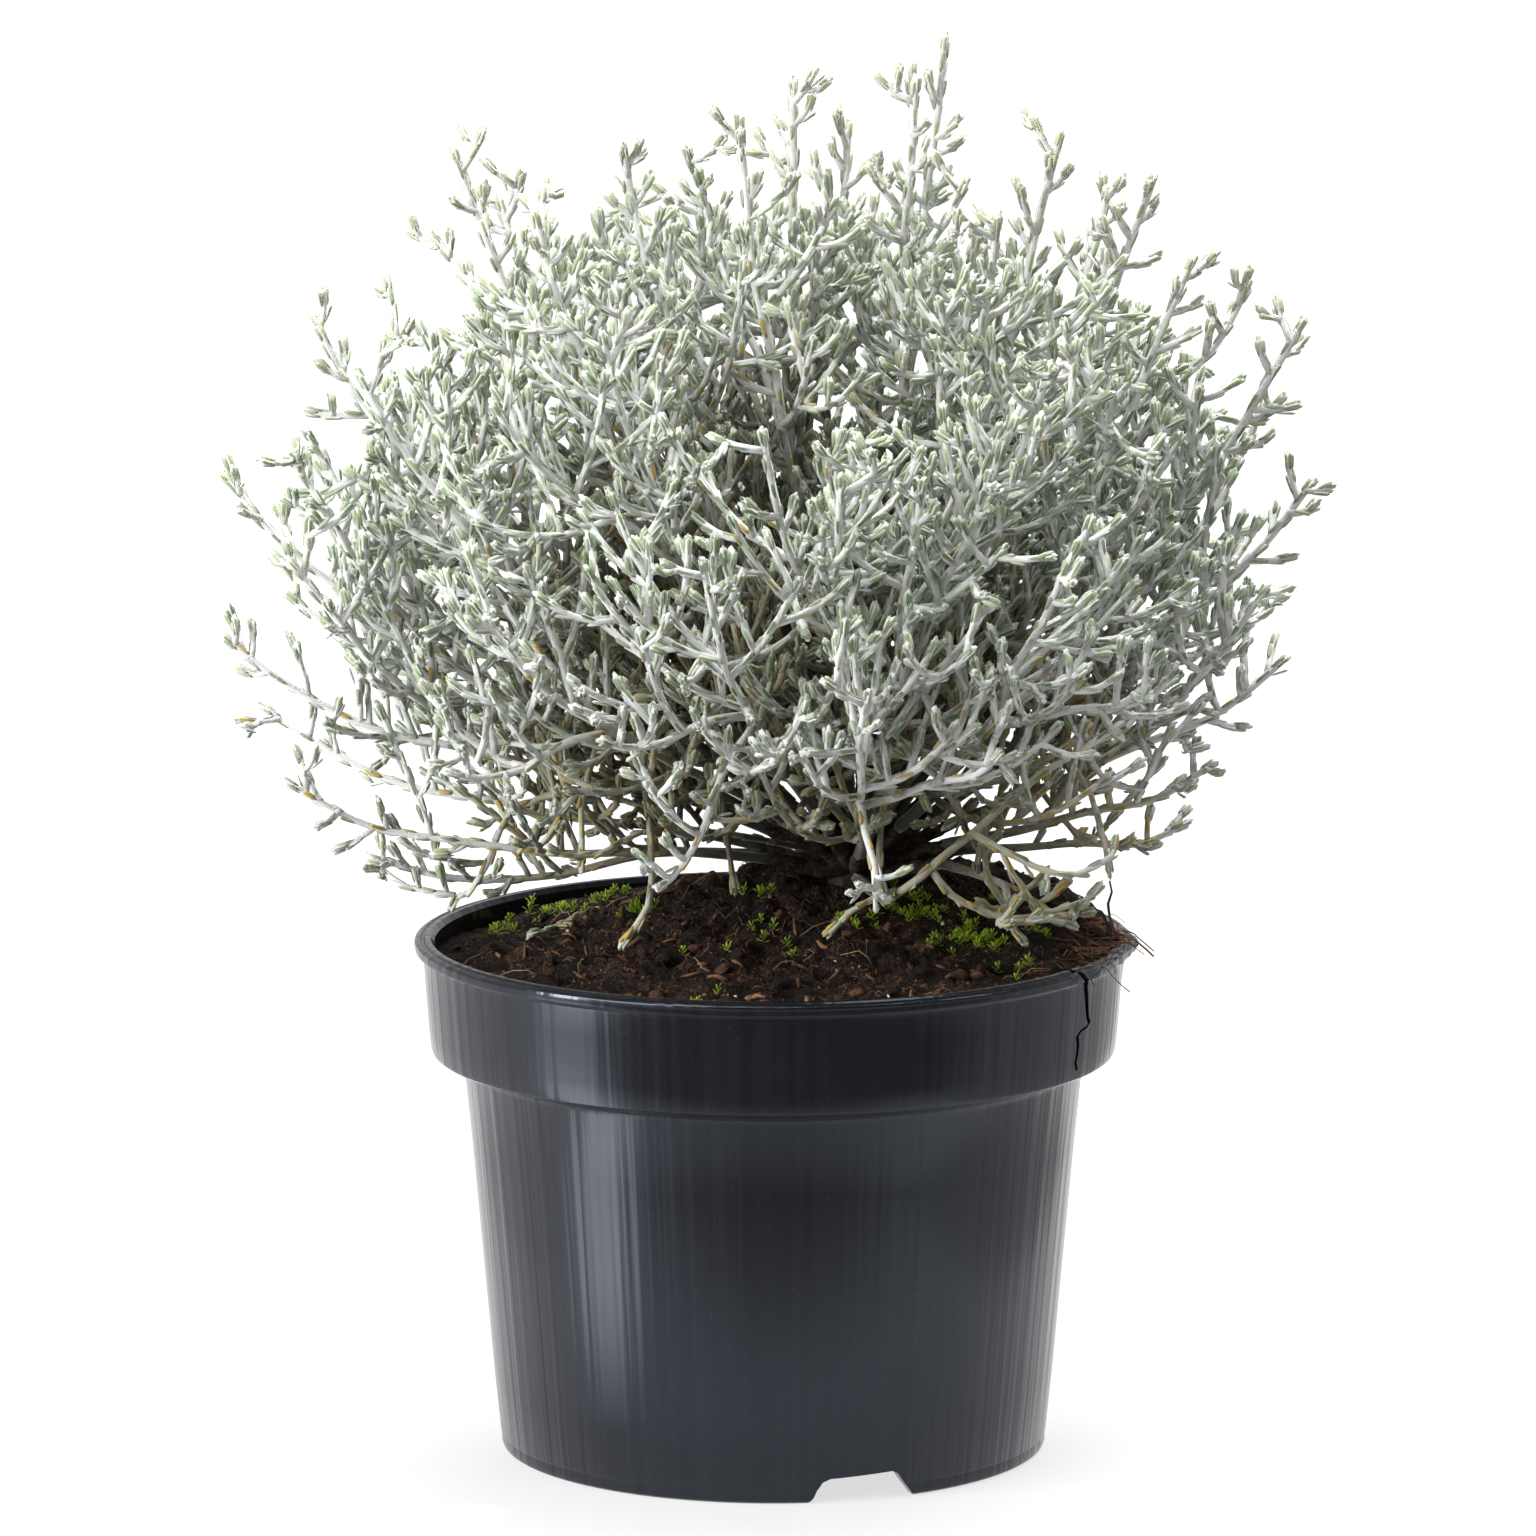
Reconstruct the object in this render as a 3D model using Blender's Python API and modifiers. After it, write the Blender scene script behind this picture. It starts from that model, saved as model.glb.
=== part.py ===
"""A silver cushion bush in a round plastic nursery pot.

The pot is a turned shell with three drainage notches in its foot. Soil fills it to the lip.
A woody crown stands in a socket in the soil. It carries the leafy stems, each one solid of
its own with its forks and side shoots. Metres, +Z up, the origin under the pot's centre,
and the pot's best side towards -Y.
"""
import math
import random

import bmesh
import bpy
import numpy as np
from mathutils import Vector
from mathutils.bvhtree import BVHTree

MM = 0.001
FIT_GAP = 0.3 * MM
WELD = 0.001 * MM

# Pot
POT_HEIGHT = 137.2 * MM
LIP_RADIUS = 95.0 * MM
LIP_INNER_RADIUS = 89.6 * MM
LIP_THICKNESS = 3.4 * MM
BAND_TOP_RADIUS = 92.6 * MM
BAND_FOOT_RADIUS = 90.7 * MM
BAND_FOOT_HEIGHT = 106.4 * MM
STEP_DROP = 2.4 * MM
BODY_TOP_RADIUS = 81.8 * MM
FOOT_RADIUS = 72.4 * MM
LIP_ROUNDING = 1.3 * MM
LIP_CROWN = 0.2 * MM
LIP_LEAN = 0.6 * MM
BAND_ROUNDING = 1.6 * MM
STEP_ROUNDING = 1.1 * MM
INNER_ROUNDING = 0.6 * MM
FOOT_ROUNDING = 1.6 * MM
FOOT_EDGE_SHARE = 0.7
WALL = 1.5 * MM
FOOT_RING_WIDTH = 4.4 * MM
FLOOR_UNDERSIDE = 6.0 * MM
FLOOR_TOP = 7.6 * MM
POT_SEGMENTS = 44

NOTCH_COUNT = 3
NOTCH_FIRST_ANGLE = math.radians(-71.0)
NOTCH_DEPTH = 12.0 * MM
NOTCH_LINE = ((-14.5, -2.0), (14.5, -2.0), (14.5, 0.0), (9.5, 6.7), (7.5, 7.4), (-10.0, 6.4),
              (-11.9, 4.6), (-14.5, 0.0))
DRAIN_COUNT = 6
DRAIN_FIRST_ANGLE = math.radians(19.0)
DRAIN_RADIUS = 5.0 * MM
DRAIN_CIRCLE = 45.0 * MM
DRAIN_DEPTH = 8.0 * MM
DRAIN_SIDES = 8

CRACK_ANGLE = math.radians(-23.0)
CRACK_WIDTH = 0.7 * MM
CRACK_DEPTH = 14.0 * MM
CRACK_STEPS = ((0.0, 139.0), (-1.6, 132.5), (-2.0, 126.5), (1.4, 122.5), (1.2, 111.0))

# Soil
SOIL_EDGE_HEIGHT = 133.0 * MM
SOIL_MOUNDS = (
    (10.0, 18.0, 42.0, 36.0, 18.5),
    (56.0, 46.0, 26.0, 26.0, 6.5),
    (-66.0, 34.0, 28.0, 28.0, -4.0),
    (80.0, -6.0, 15.0, 26.0, 3.0),
    (-22.0, -42.0, 24.0, 18.0, 1.6),
    (34.0, -58.0, 20.0, 15.0, 1.2),
)
SOIL_SEGMENTS = 36
SOIL_RINGS = 7
SOIL_EDGE_GAP = 0.1 * MM
SOIL_SIDE_GAP = 1.3 * MM
SOIL_STEP_GAP = 0.8 * MM
SOCKET_DEPTH = 80.0 * MM
SOCKET_SIDES = 16

# Crown
CROWN = np.array((22.0, 10.0, 153.0)) * MM
TRUNK_RADIUS = 10.0 * MM
TRUNK_FOOT = 118.0 * MM
STUB_REACH = 25.0 * MM
STUB_RADIUS = 2.1 * MM
STUB_LEAST_ANGLE = math.radians(17.5)
STUB_LEAST_RISE = math.radians(9.0)
STUB_FOOT_SWELL = 1.25
BURL_RADIUS = 11.2 * MM
BURL_SQUASH = 0.85
TRUNK_SIDES = 12
STUB_ROUNDS = 400
STUB_NUDGE = 0.12

# Leafy stems: where each one's tip ends, then where its forks' tips end, in millimetres.
STEM_TIPS = (
    ((45, 5, 376), (37, -15, 367)),
    ((5, 10, 364), (20, 30, 350)),
    ((-9, -20, 358), (-20, 40, 337)),
    ((-39, -10, 347), (-48, 55, 323)),
    ((75, -10, 352), (58, -45, 335)),
    ((100, 10, 338), (89, 45, 331)),
    ((-84, 0, 347), (-73, 30, 330)),
    ((-62, -30, 334),),
    ((109, -35, 323), (126, 25, 308)),
    ((139, -5, 302),),
    ((-120, 5, 299), (-95, 45, 295)),
    ((-108, -35, 293),),
    ((-145, 10, 259), (-126, -30, 270)),
    ((-145, -5, 218), (-126, -45, 245)),
    ((-137, 35, 193),),
    ((-128, -30, 184),),
    ((-107, -10, 160),),
    ((142, 0, 259), (131, 40, 274)),
    ((136, 10, 210), (128, -50, 239)),
    ((116, -20, 187),),
    ((111, 20, 164),),
    ((84, -34, 150), (62, -58, 152)),
    ((-44, -75, 309), (-72, -85, 292)),
    ((17, -118, 278), (-3, -100, 287)),
    ((38, -112, 276), (55, -105, 277)),
    ((71, -70, 300),),
    ((-18, -133, 259), (-44, -105, 208), (-30, -96, 168)),
    ((75, -108, 255), (97, -80, 219)),
    ((-77, -100, 243), (-84, -84, 196)),
    ((24, -125, 224), (58, -100, 204), (28, -98, 166)),
    ((-60, 75, 300), (-20, 85, 325)),
    ((30, 95, 318), (75, 80, 300)),
    ((-95, 75, 262), (-90, 85, 205)),
    ((-45, 118, 250), (-30, 122, 198)),
    ((5, 132, 268), (35, 126, 200), (12, 108, 170)),
    ((55, 118, 250), (90, 88, 200)),
    ((100, 80, 262),),
)
STEM_FOOT_RADIUS = 1.75 * MM
STEM_RADIUS = 1.5 * MM
FORK_RADIUS = 1.35 * MM
LIMB_RADIUS = 1.25 * MM
TWIG_RADIUS = 1.15 * MM
CLUB_SWELL = 1.3
TIP_TAPER = 0.55
STEM_NODE_SPACING = 24.0 * MM
STEM_ZIGZAG = 0.9 * MM
ZIGZAG_WAY = np.array((0.31, 0.52, 0.11))
STEM_HANDLE = 0.33
STEM_TRIES = 160
FIRST_BEND = 4.0 * MM
BEND_GROWTH = 0.35 * MM
TAPER_SHARE = 0.6
TIP_SWELL = 1.08
TIP_PULL = (0.62, 0.5)
STRAIGHT_FOOT = 3.0 * MM
FORK_AT = (0.42, 0.56)
FORK_OTHERWISE = (0.36, 0.5, 0.62, 0.7)
FORK_SETBACK = 0.35
CLEARANCE = 0.6 * MM
LIP_MARGIN = 6.0 * MM
GROUND_MARGIN = 2.0 * MM

# Side shoots, from long limbs to the short twigs on them
SEED = 41
GOLDEN_ANGLE = math.radians(137.5)
BALL_HEART = np.array((4.0, 0.0, 185.0)) * MM
BALL_CENTRE = np.array((-2.0, 0.0, 236.0)) * MM
BALL_REACH = np.array((133.0, 130.0, 116.0)) * MM
BALL_DROP = 76.0 * MM
BALL_POWER = 2.3
BALL_SLACK = 24.0 * MM
OUTSIDE_REACH = 15.0 * MM
SHOOT_OPENING = (56.0, 80.0)
SHOOT_CURL = (0.20, 0.42)
SHOOT_PULL = (0.7, 0.6)
SHOOT_TURNS = (0.0, 0.9, -0.9)
SHOOT_LEVEL_WAY = np.array((0.13, 0.21, 0.97))
SHOOT_ROOT = 0.85
LIMB_FIRST = 7.0 * MM
LIMB_SPACING = 46.0 * MM
LIMB_BARE = 26.0 * MM
LIMB_LENGTHS = (40.0 * MM, 10.4 * MM)
LIMB_LEAST = 10.0 * MM
LIMB_WIDENING = 0.8
LONG_LIMB = 20.0 * MM
LIMB_TURN = 1.7
TWIG_CARRIER = 14.0 * MM
TWIG_ROUNDS = 16
TWIG_FIRST = 5.0 * MM
TWIG_SPACING = 34.0 * MM
TWIG_BARE = 5.0 * MM
TWIG_BARE_ON_STEMS = 34.0 * MM
TWIG_LENGTHS = (18.0 * MM, 9.0 * MM)
TWIG_TURN = 2.3
SHOOT_SIDES = 3
STEM_SIDES = 4

# Fallen twig
FALLEN_FROM = (-65.0 * MM, 2.0 * MM)
FALLEN_TO = (-51.0 * MM, 27.0 * MM)
FALLEN_RADIUS = 1.9 * MM
FALLEN_BOW = 1.6 * MM
FALLEN_SCALES = (0.5, 1.0, 0.95, 1.05, 0.6)

COLOURS = {
    "pot": ((0.028, 0.029, 0.032), 0.38),
    "soil": ((0.045, 0.024, 0.016), 0.95),
    "bark": ((0.16, 0.12, 0.09), 0.85),
    "silver_leaf": ((0.58, 0.62, 0.55), 0.8),
}


def unit(vector):
    """The same direction with a length of one."""
    return vector / np.linalg.norm(vector)


def soil_height(x, y):
    """Height of the soil's surface: a level edge with smooth mounds and dips on it."""
    height = SOIL_EDGE_HEIGHT
    for centre_x, centre_y, spread_x, spread_y, rise in SOIL_MOUNDS:
        across = (x - centre_x * MM) / (spread_x * MM)
        along = (y - centre_y * MM) / (spread_y * MM)
        height += rise * MM * math.exp(-0.5 * (across * across + along * along))
    return height


# Scene, materials and objects

def clear_scene():
    for obj in list(bpy.data.objects):
        bpy.data.objects.remove(obj, do_unlink=True)


def new_collection(name):
    group = bpy.data.collections.new(name)
    bpy.context.scene.collection.children.link(group)
    return group


def make_material(name):
    colour, roughness = COLOURS[name]
    material = bpy.data.materials.new(name)
    material.use_nodes = True
    shader = material.node_tree.nodes["Principled BSDF"]
    shader.inputs["Base Color"].default_value = (*colour, 1.0)
    shader.inputs["Roughness"].default_value = roughness
    shader.inputs["Metallic"].default_value = 0.0
    return material


def link_mesh(name, mesh, group, material=None):
    obj = bpy.data.objects.new(name, mesh)
    group.objects.link(obj)
    if material:
        mesh.materials.clear()
        mesh.materials.append(material)
    return obj


def new_cylinder(name, group, sides, radius, foot, top, centre):
    """An upright cylinder between two heights, kept in one collection."""
    bpy.ops.mesh.primitive_cylinder_add(
        vertices=sides, radius=radius, depth=top - foot,
        location=(centre[0], centre[1], (top + foot) / 2))
    obj = bpy.context.active_object
    obj.name = name
    for other in list(obj.users_collection):
        other.objects.unlink(obj)
    group.objects.link(obj)
    return obj


def evaluated_copy(obj):
    """A plain mesh of an object with its modifiers applied."""
    bpy.context.view_layer.update()
    graph = bpy.context.evaluated_depsgraph_get()
    return bpy.data.meshes.new_from_object(obj.evaluated_get(graph))


def tidy_mesh(mesh):
    """Weld the points that coincide and turn every face outwards."""
    shape = bmesh.new()
    shape.from_mesh(mesh)
    bmesh.ops.remove_doubles(shape, verts=shape.verts, dist=WELD)
    bmesh.ops.recalc_face_normals(shape, faces=shape.faces)
    shape.to_mesh(mesh)
    shape.free()


def turned_mesh(name, profile, segments, group):
    """Turn a profile of (radius, height) points about Z and return the plain mesh."""
    shape = bmesh.new()
    points = [shape.verts.new((radius, 0.0, height)) for radius, height in profile]
    for first, second in zip(points, points[1:]):
        shape.edges.new((first, second))
    line = bpy.data.meshes.new(name)
    shape.to_mesh(line)
    shape.free()
    obj = link_mesh(name + "_profile", line, group)
    screw = obj.modifiers.new("turn", "SCREW")
    screw.steps = segments
    screw.render_steps = segments
    screw.use_merge_vertices = True
    screw.merge_threshold = WELD * 10
    mesh = evaluated_copy(obj)
    bpy.data.objects.remove(obj, do_unlink=True)
    tidy_mesh(mesh)
    return mesh


def cut(obj, cutter):
    boolean = obj.modifiers.new("cut_" + cutter.name, "BOOLEAN")
    boolean.operation = "DIFFERENCE"
    boolean.solver = "EXACT"
    boolean.object = cutter
    cutter.hide_render = True
    cutter.display_type = "WIRE"


def prism(name, outline, depth, group):
    """A flat outline in X and Z made solid over a depth along Y."""
    curve = bpy.data.curves.new(name, "CURVE")
    curve.dimensions = "2D"
    curve.fill_mode = "BOTH"
    curve.extrude = depth / 2
    spline = curve.splines.new("POLY")
    spline.points.add(len(outline) - 1)
    for point, (across, up) in zip(spline.points, outline):
        point.co = (across, up, 0.0, 1.0)
    spline.use_cyclic_u = True
    drawn = bpy.data.objects.new(name, curve)
    group.objects.link(drawn)
    mesh = evaluated_copy(drawn)
    bpy.data.objects.remove(drawn, do_unlink=True)
    tidy_mesh(mesh)
    obj = link_mesh(name, mesh, group)
    obj.rotation_euler = (math.pi / 2, 0.0, 0.0)
    return obj


# Pot and soil

def pot_profile():
    """The pot's wall from the lip down its outer side, under the foot and back up inside."""
    lip_foot = POT_HEIGHT - LIP_THICKNESS
    body_top = BAND_FOOT_HEIGHT - STEP_DROP
    ring_inner = FOOT_RADIUS - FOOT_RING_WIDTH
    outer = [
        (LIP_INNER_RADIUS + LIP_ROUNDING, POT_HEIGHT),
        (LIP_RADIUS - LIP_ROUNDING, POT_HEIGHT - LIP_CROWN),
        (LIP_RADIUS, POT_HEIGHT - LIP_ROUNDING),
        (LIP_RADIUS - LIP_LEAN, lip_foot),
        (BAND_TOP_RADIUS, lip_foot - STEP_ROUNDING),
        (BAND_FOOT_RADIUS, BAND_FOOT_HEIGHT + BAND_ROUNDING),
        (BAND_FOOT_RADIUS - BAND_ROUNDING, BAND_FOOT_HEIGHT),
        (BODY_TOP_RADIUS + STEP_ROUNDING, body_top),
        (BODY_TOP_RADIUS, body_top - STEP_ROUNDING),
        (FOOT_RADIUS, FOOT_ROUNDING),
        (FOOT_RADIUS - FOOT_ROUNDING * FOOT_EDGE_SHARE, 0.0),
    ]
    inner = [
        (ring_inner, 0.0),
        (ring_inner, FLOOR_UNDERSIDE),
        (0.0, FLOOR_UNDERSIDE),
        (0.0, FLOOR_TOP),
        (inner_radius(FLOOR_TOP), FLOOR_TOP),
        (BODY_TOP_RADIUS - WALL, body_top + INNER_ROUNDING),
        (BAND_FOOT_RADIUS - WALL - INNER_ROUNDING, BAND_FOOT_HEIGHT + WALL),
        (LIP_INNER_RADIUS, POT_HEIGHT - LIP_ROUNDING),
        (LIP_INNER_RADIUS + LIP_ROUNDING, POT_HEIGHT),
    ]
    return outer + inner


def inner_radius(height):
    """Radius of the pot's inner wall below the step."""
    rise = height / (BAND_FOOT_HEIGHT - STEP_DROP)
    return FOOT_RADIUS + (BODY_TOP_RADIUS - FOOT_RADIUS) * rise - WALL


def crack_outline():
    """A thin zigzag slit from above the lip down to the band's foot."""
    left = [(across * MM - CRACK_WIDTH / 2, up * MM) for across, up in CRACK_STEPS]
    right = [(across * MM + CRACK_WIDTH / 2, up * MM) for across, up in CRACK_STEPS]
    return left + right[::-1]


def turned_to(obj, angle, radius):
    """Stand a prism across the radius at an angle round the pot."""
    obj.rotation_euler = (math.pi / 2, 0.0, angle + math.pi / 2)
    obj.location = (radius * math.cos(angle), radius * math.sin(angle), 0.0)


def make_pot(parts, cutters, material):
    mesh = turned_mesh("pot", pot_profile(), POT_SEGMENTS, cutters)
    pot = link_mesh("pot", mesh, parts, material)
    for number in range(NOTCH_COUNT):
        angle = NOTCH_FIRST_ANGLE + number * math.tau / NOTCH_COUNT
        outline = [(across * MM, up * MM) for across, up in NOTCH_LINE]
        notch = prism("notch_%d" % (number + 1), outline, NOTCH_DEPTH, cutters)
        turned_to(notch, angle, FOOT_RADIUS)
        cut(pot, notch)
    crack = prism("rim_crack", crack_outline(), CRACK_DEPTH, cutters)
    turned_to(crack, CRACK_ANGLE, BAND_TOP_RADIUS)
    cut(pot, crack)
    for number in range(DRAIN_COUNT):
        angle = DRAIN_FIRST_ANGLE + number * math.tau / DRAIN_COUNT
        centre = (DRAIN_CIRCLE * math.cos(angle), DRAIN_CIRCLE * math.sin(angle))
        drain = new_cylinder("drain_%d" % (number + 1), cutters, DRAIN_SIDES, DRAIN_RADIUS,
                             FLOOR_TOP - DRAIN_DEPTH / 2, FLOOR_TOP + DRAIN_DEPTH / 2, centre)
        cut(pot, drain)
    return pot


def soil_profile():
    """The soil from its flat top's middle out to the wall and down the pot's inner side."""
    body_top = BAND_FOOT_HEIGHT - STEP_DROP
    edge = BAND_FOOT_RADIUS - WALL - SOIL_EDGE_GAP
    top = [(edge * ring / SOIL_RINGS, SOIL_EDGE_HEIGHT) for ring in range(SOIL_RINGS + 1)]
    side = [
        (BAND_FOOT_RADIUS - WALL - SOIL_SIDE_GAP, BAND_FOOT_HEIGHT + WALL + SOIL_STEP_GAP),
        (BODY_TOP_RADIUS - WALL - SOIL_SIDE_GAP, body_top + SOIL_STEP_GAP),
        (inner_radius(FLOOR_TOP) - SOIL_SIDE_GAP, FLOOR_TOP + FIT_GAP),
        (0.0, FLOOR_TOP + FIT_GAP),
    ]
    return top + side


def make_soil(parts, cutters, material):
    mesh = turned_mesh("soil", soil_profile(), SOIL_SEGMENTS, cutters)
    for vertex in mesh.vertices:
        if vertex.co.z > SOIL_EDGE_HEIGHT - FIT_GAP:
            vertex.co.z = soil_height(vertex.co.x, vertex.co.y)
    soil = link_mesh("soil", mesh, parts, material)
    foot = TRUNK_FOOT - FIT_GAP
    socket = new_cylinder("trunk_socket", cutters, SOCKET_SIDES, TRUNK_RADIUS + FIT_GAP,
                          foot, foot + SOCKET_DEPTH, CROWN)
    cut(soil, socket)
    return soil


# Growth of the bush

class Thicket:
    """The shoots grown so far, as round-ended rods that later ones keep clear of."""

    def __init__(self, room=20000):
        self.count = 0
        self.starts = np.zeros((room, 3))
        self.ends = np.zeros((room, 3))
        self.radii = np.zeros(room)
        self.owners = np.zeros(room, dtype=int)

    def add(self, shoot):
        for number in range(len(shoot.points) - 1):
            row = self.count
            self.starts[row] = shoot.points[number]
            self.ends[row] = shoot.points[number + 1]
            self.radii[row] = max(shoot.radii[number], shoot.radii[number + 1])
            self.owners[row] = shoot.number
            self.count += 1

    def is_clear(self, points, radii, parent):
        """True where the rods along the points stay clear of all but their parent."""
        live = self.owners[:self.count] != parent
        starts = self.starts[:self.count][live]
        ends = self.ends[:self.count][live]
        widths = self.radii[:self.count][live]
        for number in range(len(points) - 1):
            radius = max(radii[number], radii[number + 1])
            gaps = rod_gaps(points[number], points[number + 1], starts, ends)
            if np.any(gaps < widths + radius + CLEARANCE):
                return False
        return True


def rod_gaps(start, end, starts, ends):
    """Shortest distances from one straight rod to many."""
    along = end - start
    others = ends - starts
    offset = start - starts
    length = along @ along
    cross = others @ along
    other_length = np.maximum((others * others).sum(axis=1), 1e-18)
    start_dot = offset @ along
    other_dot = (others * offset).sum(axis=1)
    spread = np.maximum(length * other_length - cross * cross, 1e-18)
    here = np.clip((cross * other_dot - other_length * start_dot) / spread, 0.0, 1.0)
    there = np.clip((cross * here + other_dot) / other_length, 0.0, 1.0)
    here = np.clip((there * cross - start_dot) / length, 0.0, 1.0)
    between = offset + here[:, None] * along - there[:, None] * others
    return np.linalg.norm(between, axis=1)


class Shoot:
    """One stem, fork, limb or twig: its points from root to tip and its radius at each."""

    def __init__(self, number, stem, level, points, radii):
        self.number = number
        self.stem = stem
        self.level = level
        self.points = points
        self.radii = radii

    def length(self):
        return float(np.linalg.norm(np.diff(self.points, axis=0), axis=1).sum())

    def place(self, distance):
        """The point and the direction at a distance from the root."""
        steps = np.diff(self.points, axis=0)
        lengths = np.linalg.norm(steps, axis=1)
        for step, length, start in zip(steps, lengths, self.points):
            if distance <= length:
                return start + step * (distance / length), step / length
            distance -= length
        return self.points[-1], unit(steps[-1])


def spread_directions(wanted):
    """Nudge directions apart until none stand closer than the crown's stubs can."""
    directions = [unit(direction) for direction in wanted]
    for _ in range(STUB_ROUNDS):
        moved = [direction.copy() for direction in directions]
        for one in range(len(directions)):
            for two in range(one):
                apart = math.acos(float(np.clip(directions[one] @ directions[two], -1.0, 1.0)))
                if apart < STUB_LEAST_ANGLE:
                    push = (directions[one] - directions[two]) * STUB_NUDGE
                    moved[one] += push
                    moved[two] -= push
        directions = [unit(lifted(direction)) for direction in moved]
    return directions


def lifted(direction):
    """A direction kept above the least rise over the soil."""
    flat = math.hypot(direction[0], direction[1])
    least = flat * math.tan(STUB_LEAST_RISE)
    return np.array((direction[0], direction[1], max(direction[2], least)))


def bezier(points, share):
    """A point on the cubic curve through four handles."""
    one, two, three, four = points
    rest = 1.0 - share
    return (one * rest ** 3 + two * 3 * rest * rest * share
            + three * 3 * rest * share * share + four * share ** 3)


def pull_from_heart(point, outward, upward):
    """The way a shoot bends at a point: away from the bush's heart and up."""
    return unit(unit(point - BALL_HEART) * outward + np.array((0.0, 0.0, upward)))


def stem_line(start, start_way, tip, tip_way, sway):
    """Points along a stem that leaves and arrives in given directions, with a slight zigzag."""
    reach = np.linalg.norm(tip - start)
    handles = (start, start + start_way * reach * STEM_HANDLE + sway[0],
               tip - tip_way * reach * STEM_HANDLE + sway[1], tip)
    count = max(4, int(round(reach / STEM_NODE_SPACING)))
    sideways = unit(np.cross(tip - start, ZIGZAG_WAY))
    points = []
    for number in range(count + 1):
        share = number / count
        ease = math.sin(math.pi * share)
        zigzag = STEM_ZIGZAG * ease * (-1) ** number
        points.append(bezier(handles, share) + sideways * zigzag)
    return np.array(points)


def tapered(count, foot, body):
    """Radii from the foot to the club-shaped tip."""
    radii = [foot + (body - foot) * min(1.0, number / (count * TAPER_SHARE))
             for number in range(count)]
    radii[-2] = body * TIP_SWELL
    radii[-1] = body * TIP_TAPER
    return radii


def inside_ball(point, slack=0.0):
    """True inside the bush's rounded, flat-bottomed outline."""
    reach = BALL_REACH.copy()
    if point[2] < BALL_CENTRE[2]:
        reach[2] = BALL_DROP
    scaled = np.abs(point - BALL_CENTRE) / (reach + slack)
    return float((scaled ** BALL_POWER).sum()) < 1.0


def above_pot(points, radii):
    """True where a shoot keeps clear of the soil and the pot's lip."""
    for point, radius in zip(points, radii):
        floor = soil_height(point[0], point[1])
        if math.hypot(point[0], point[1]) > LIP_INNER_RADIUS - LIP_MARGIN:
            floor = max(floor, POT_HEIGHT)
        if point[2] - radius < floor + GROUND_MARGIN:
            return False
    return True


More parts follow.
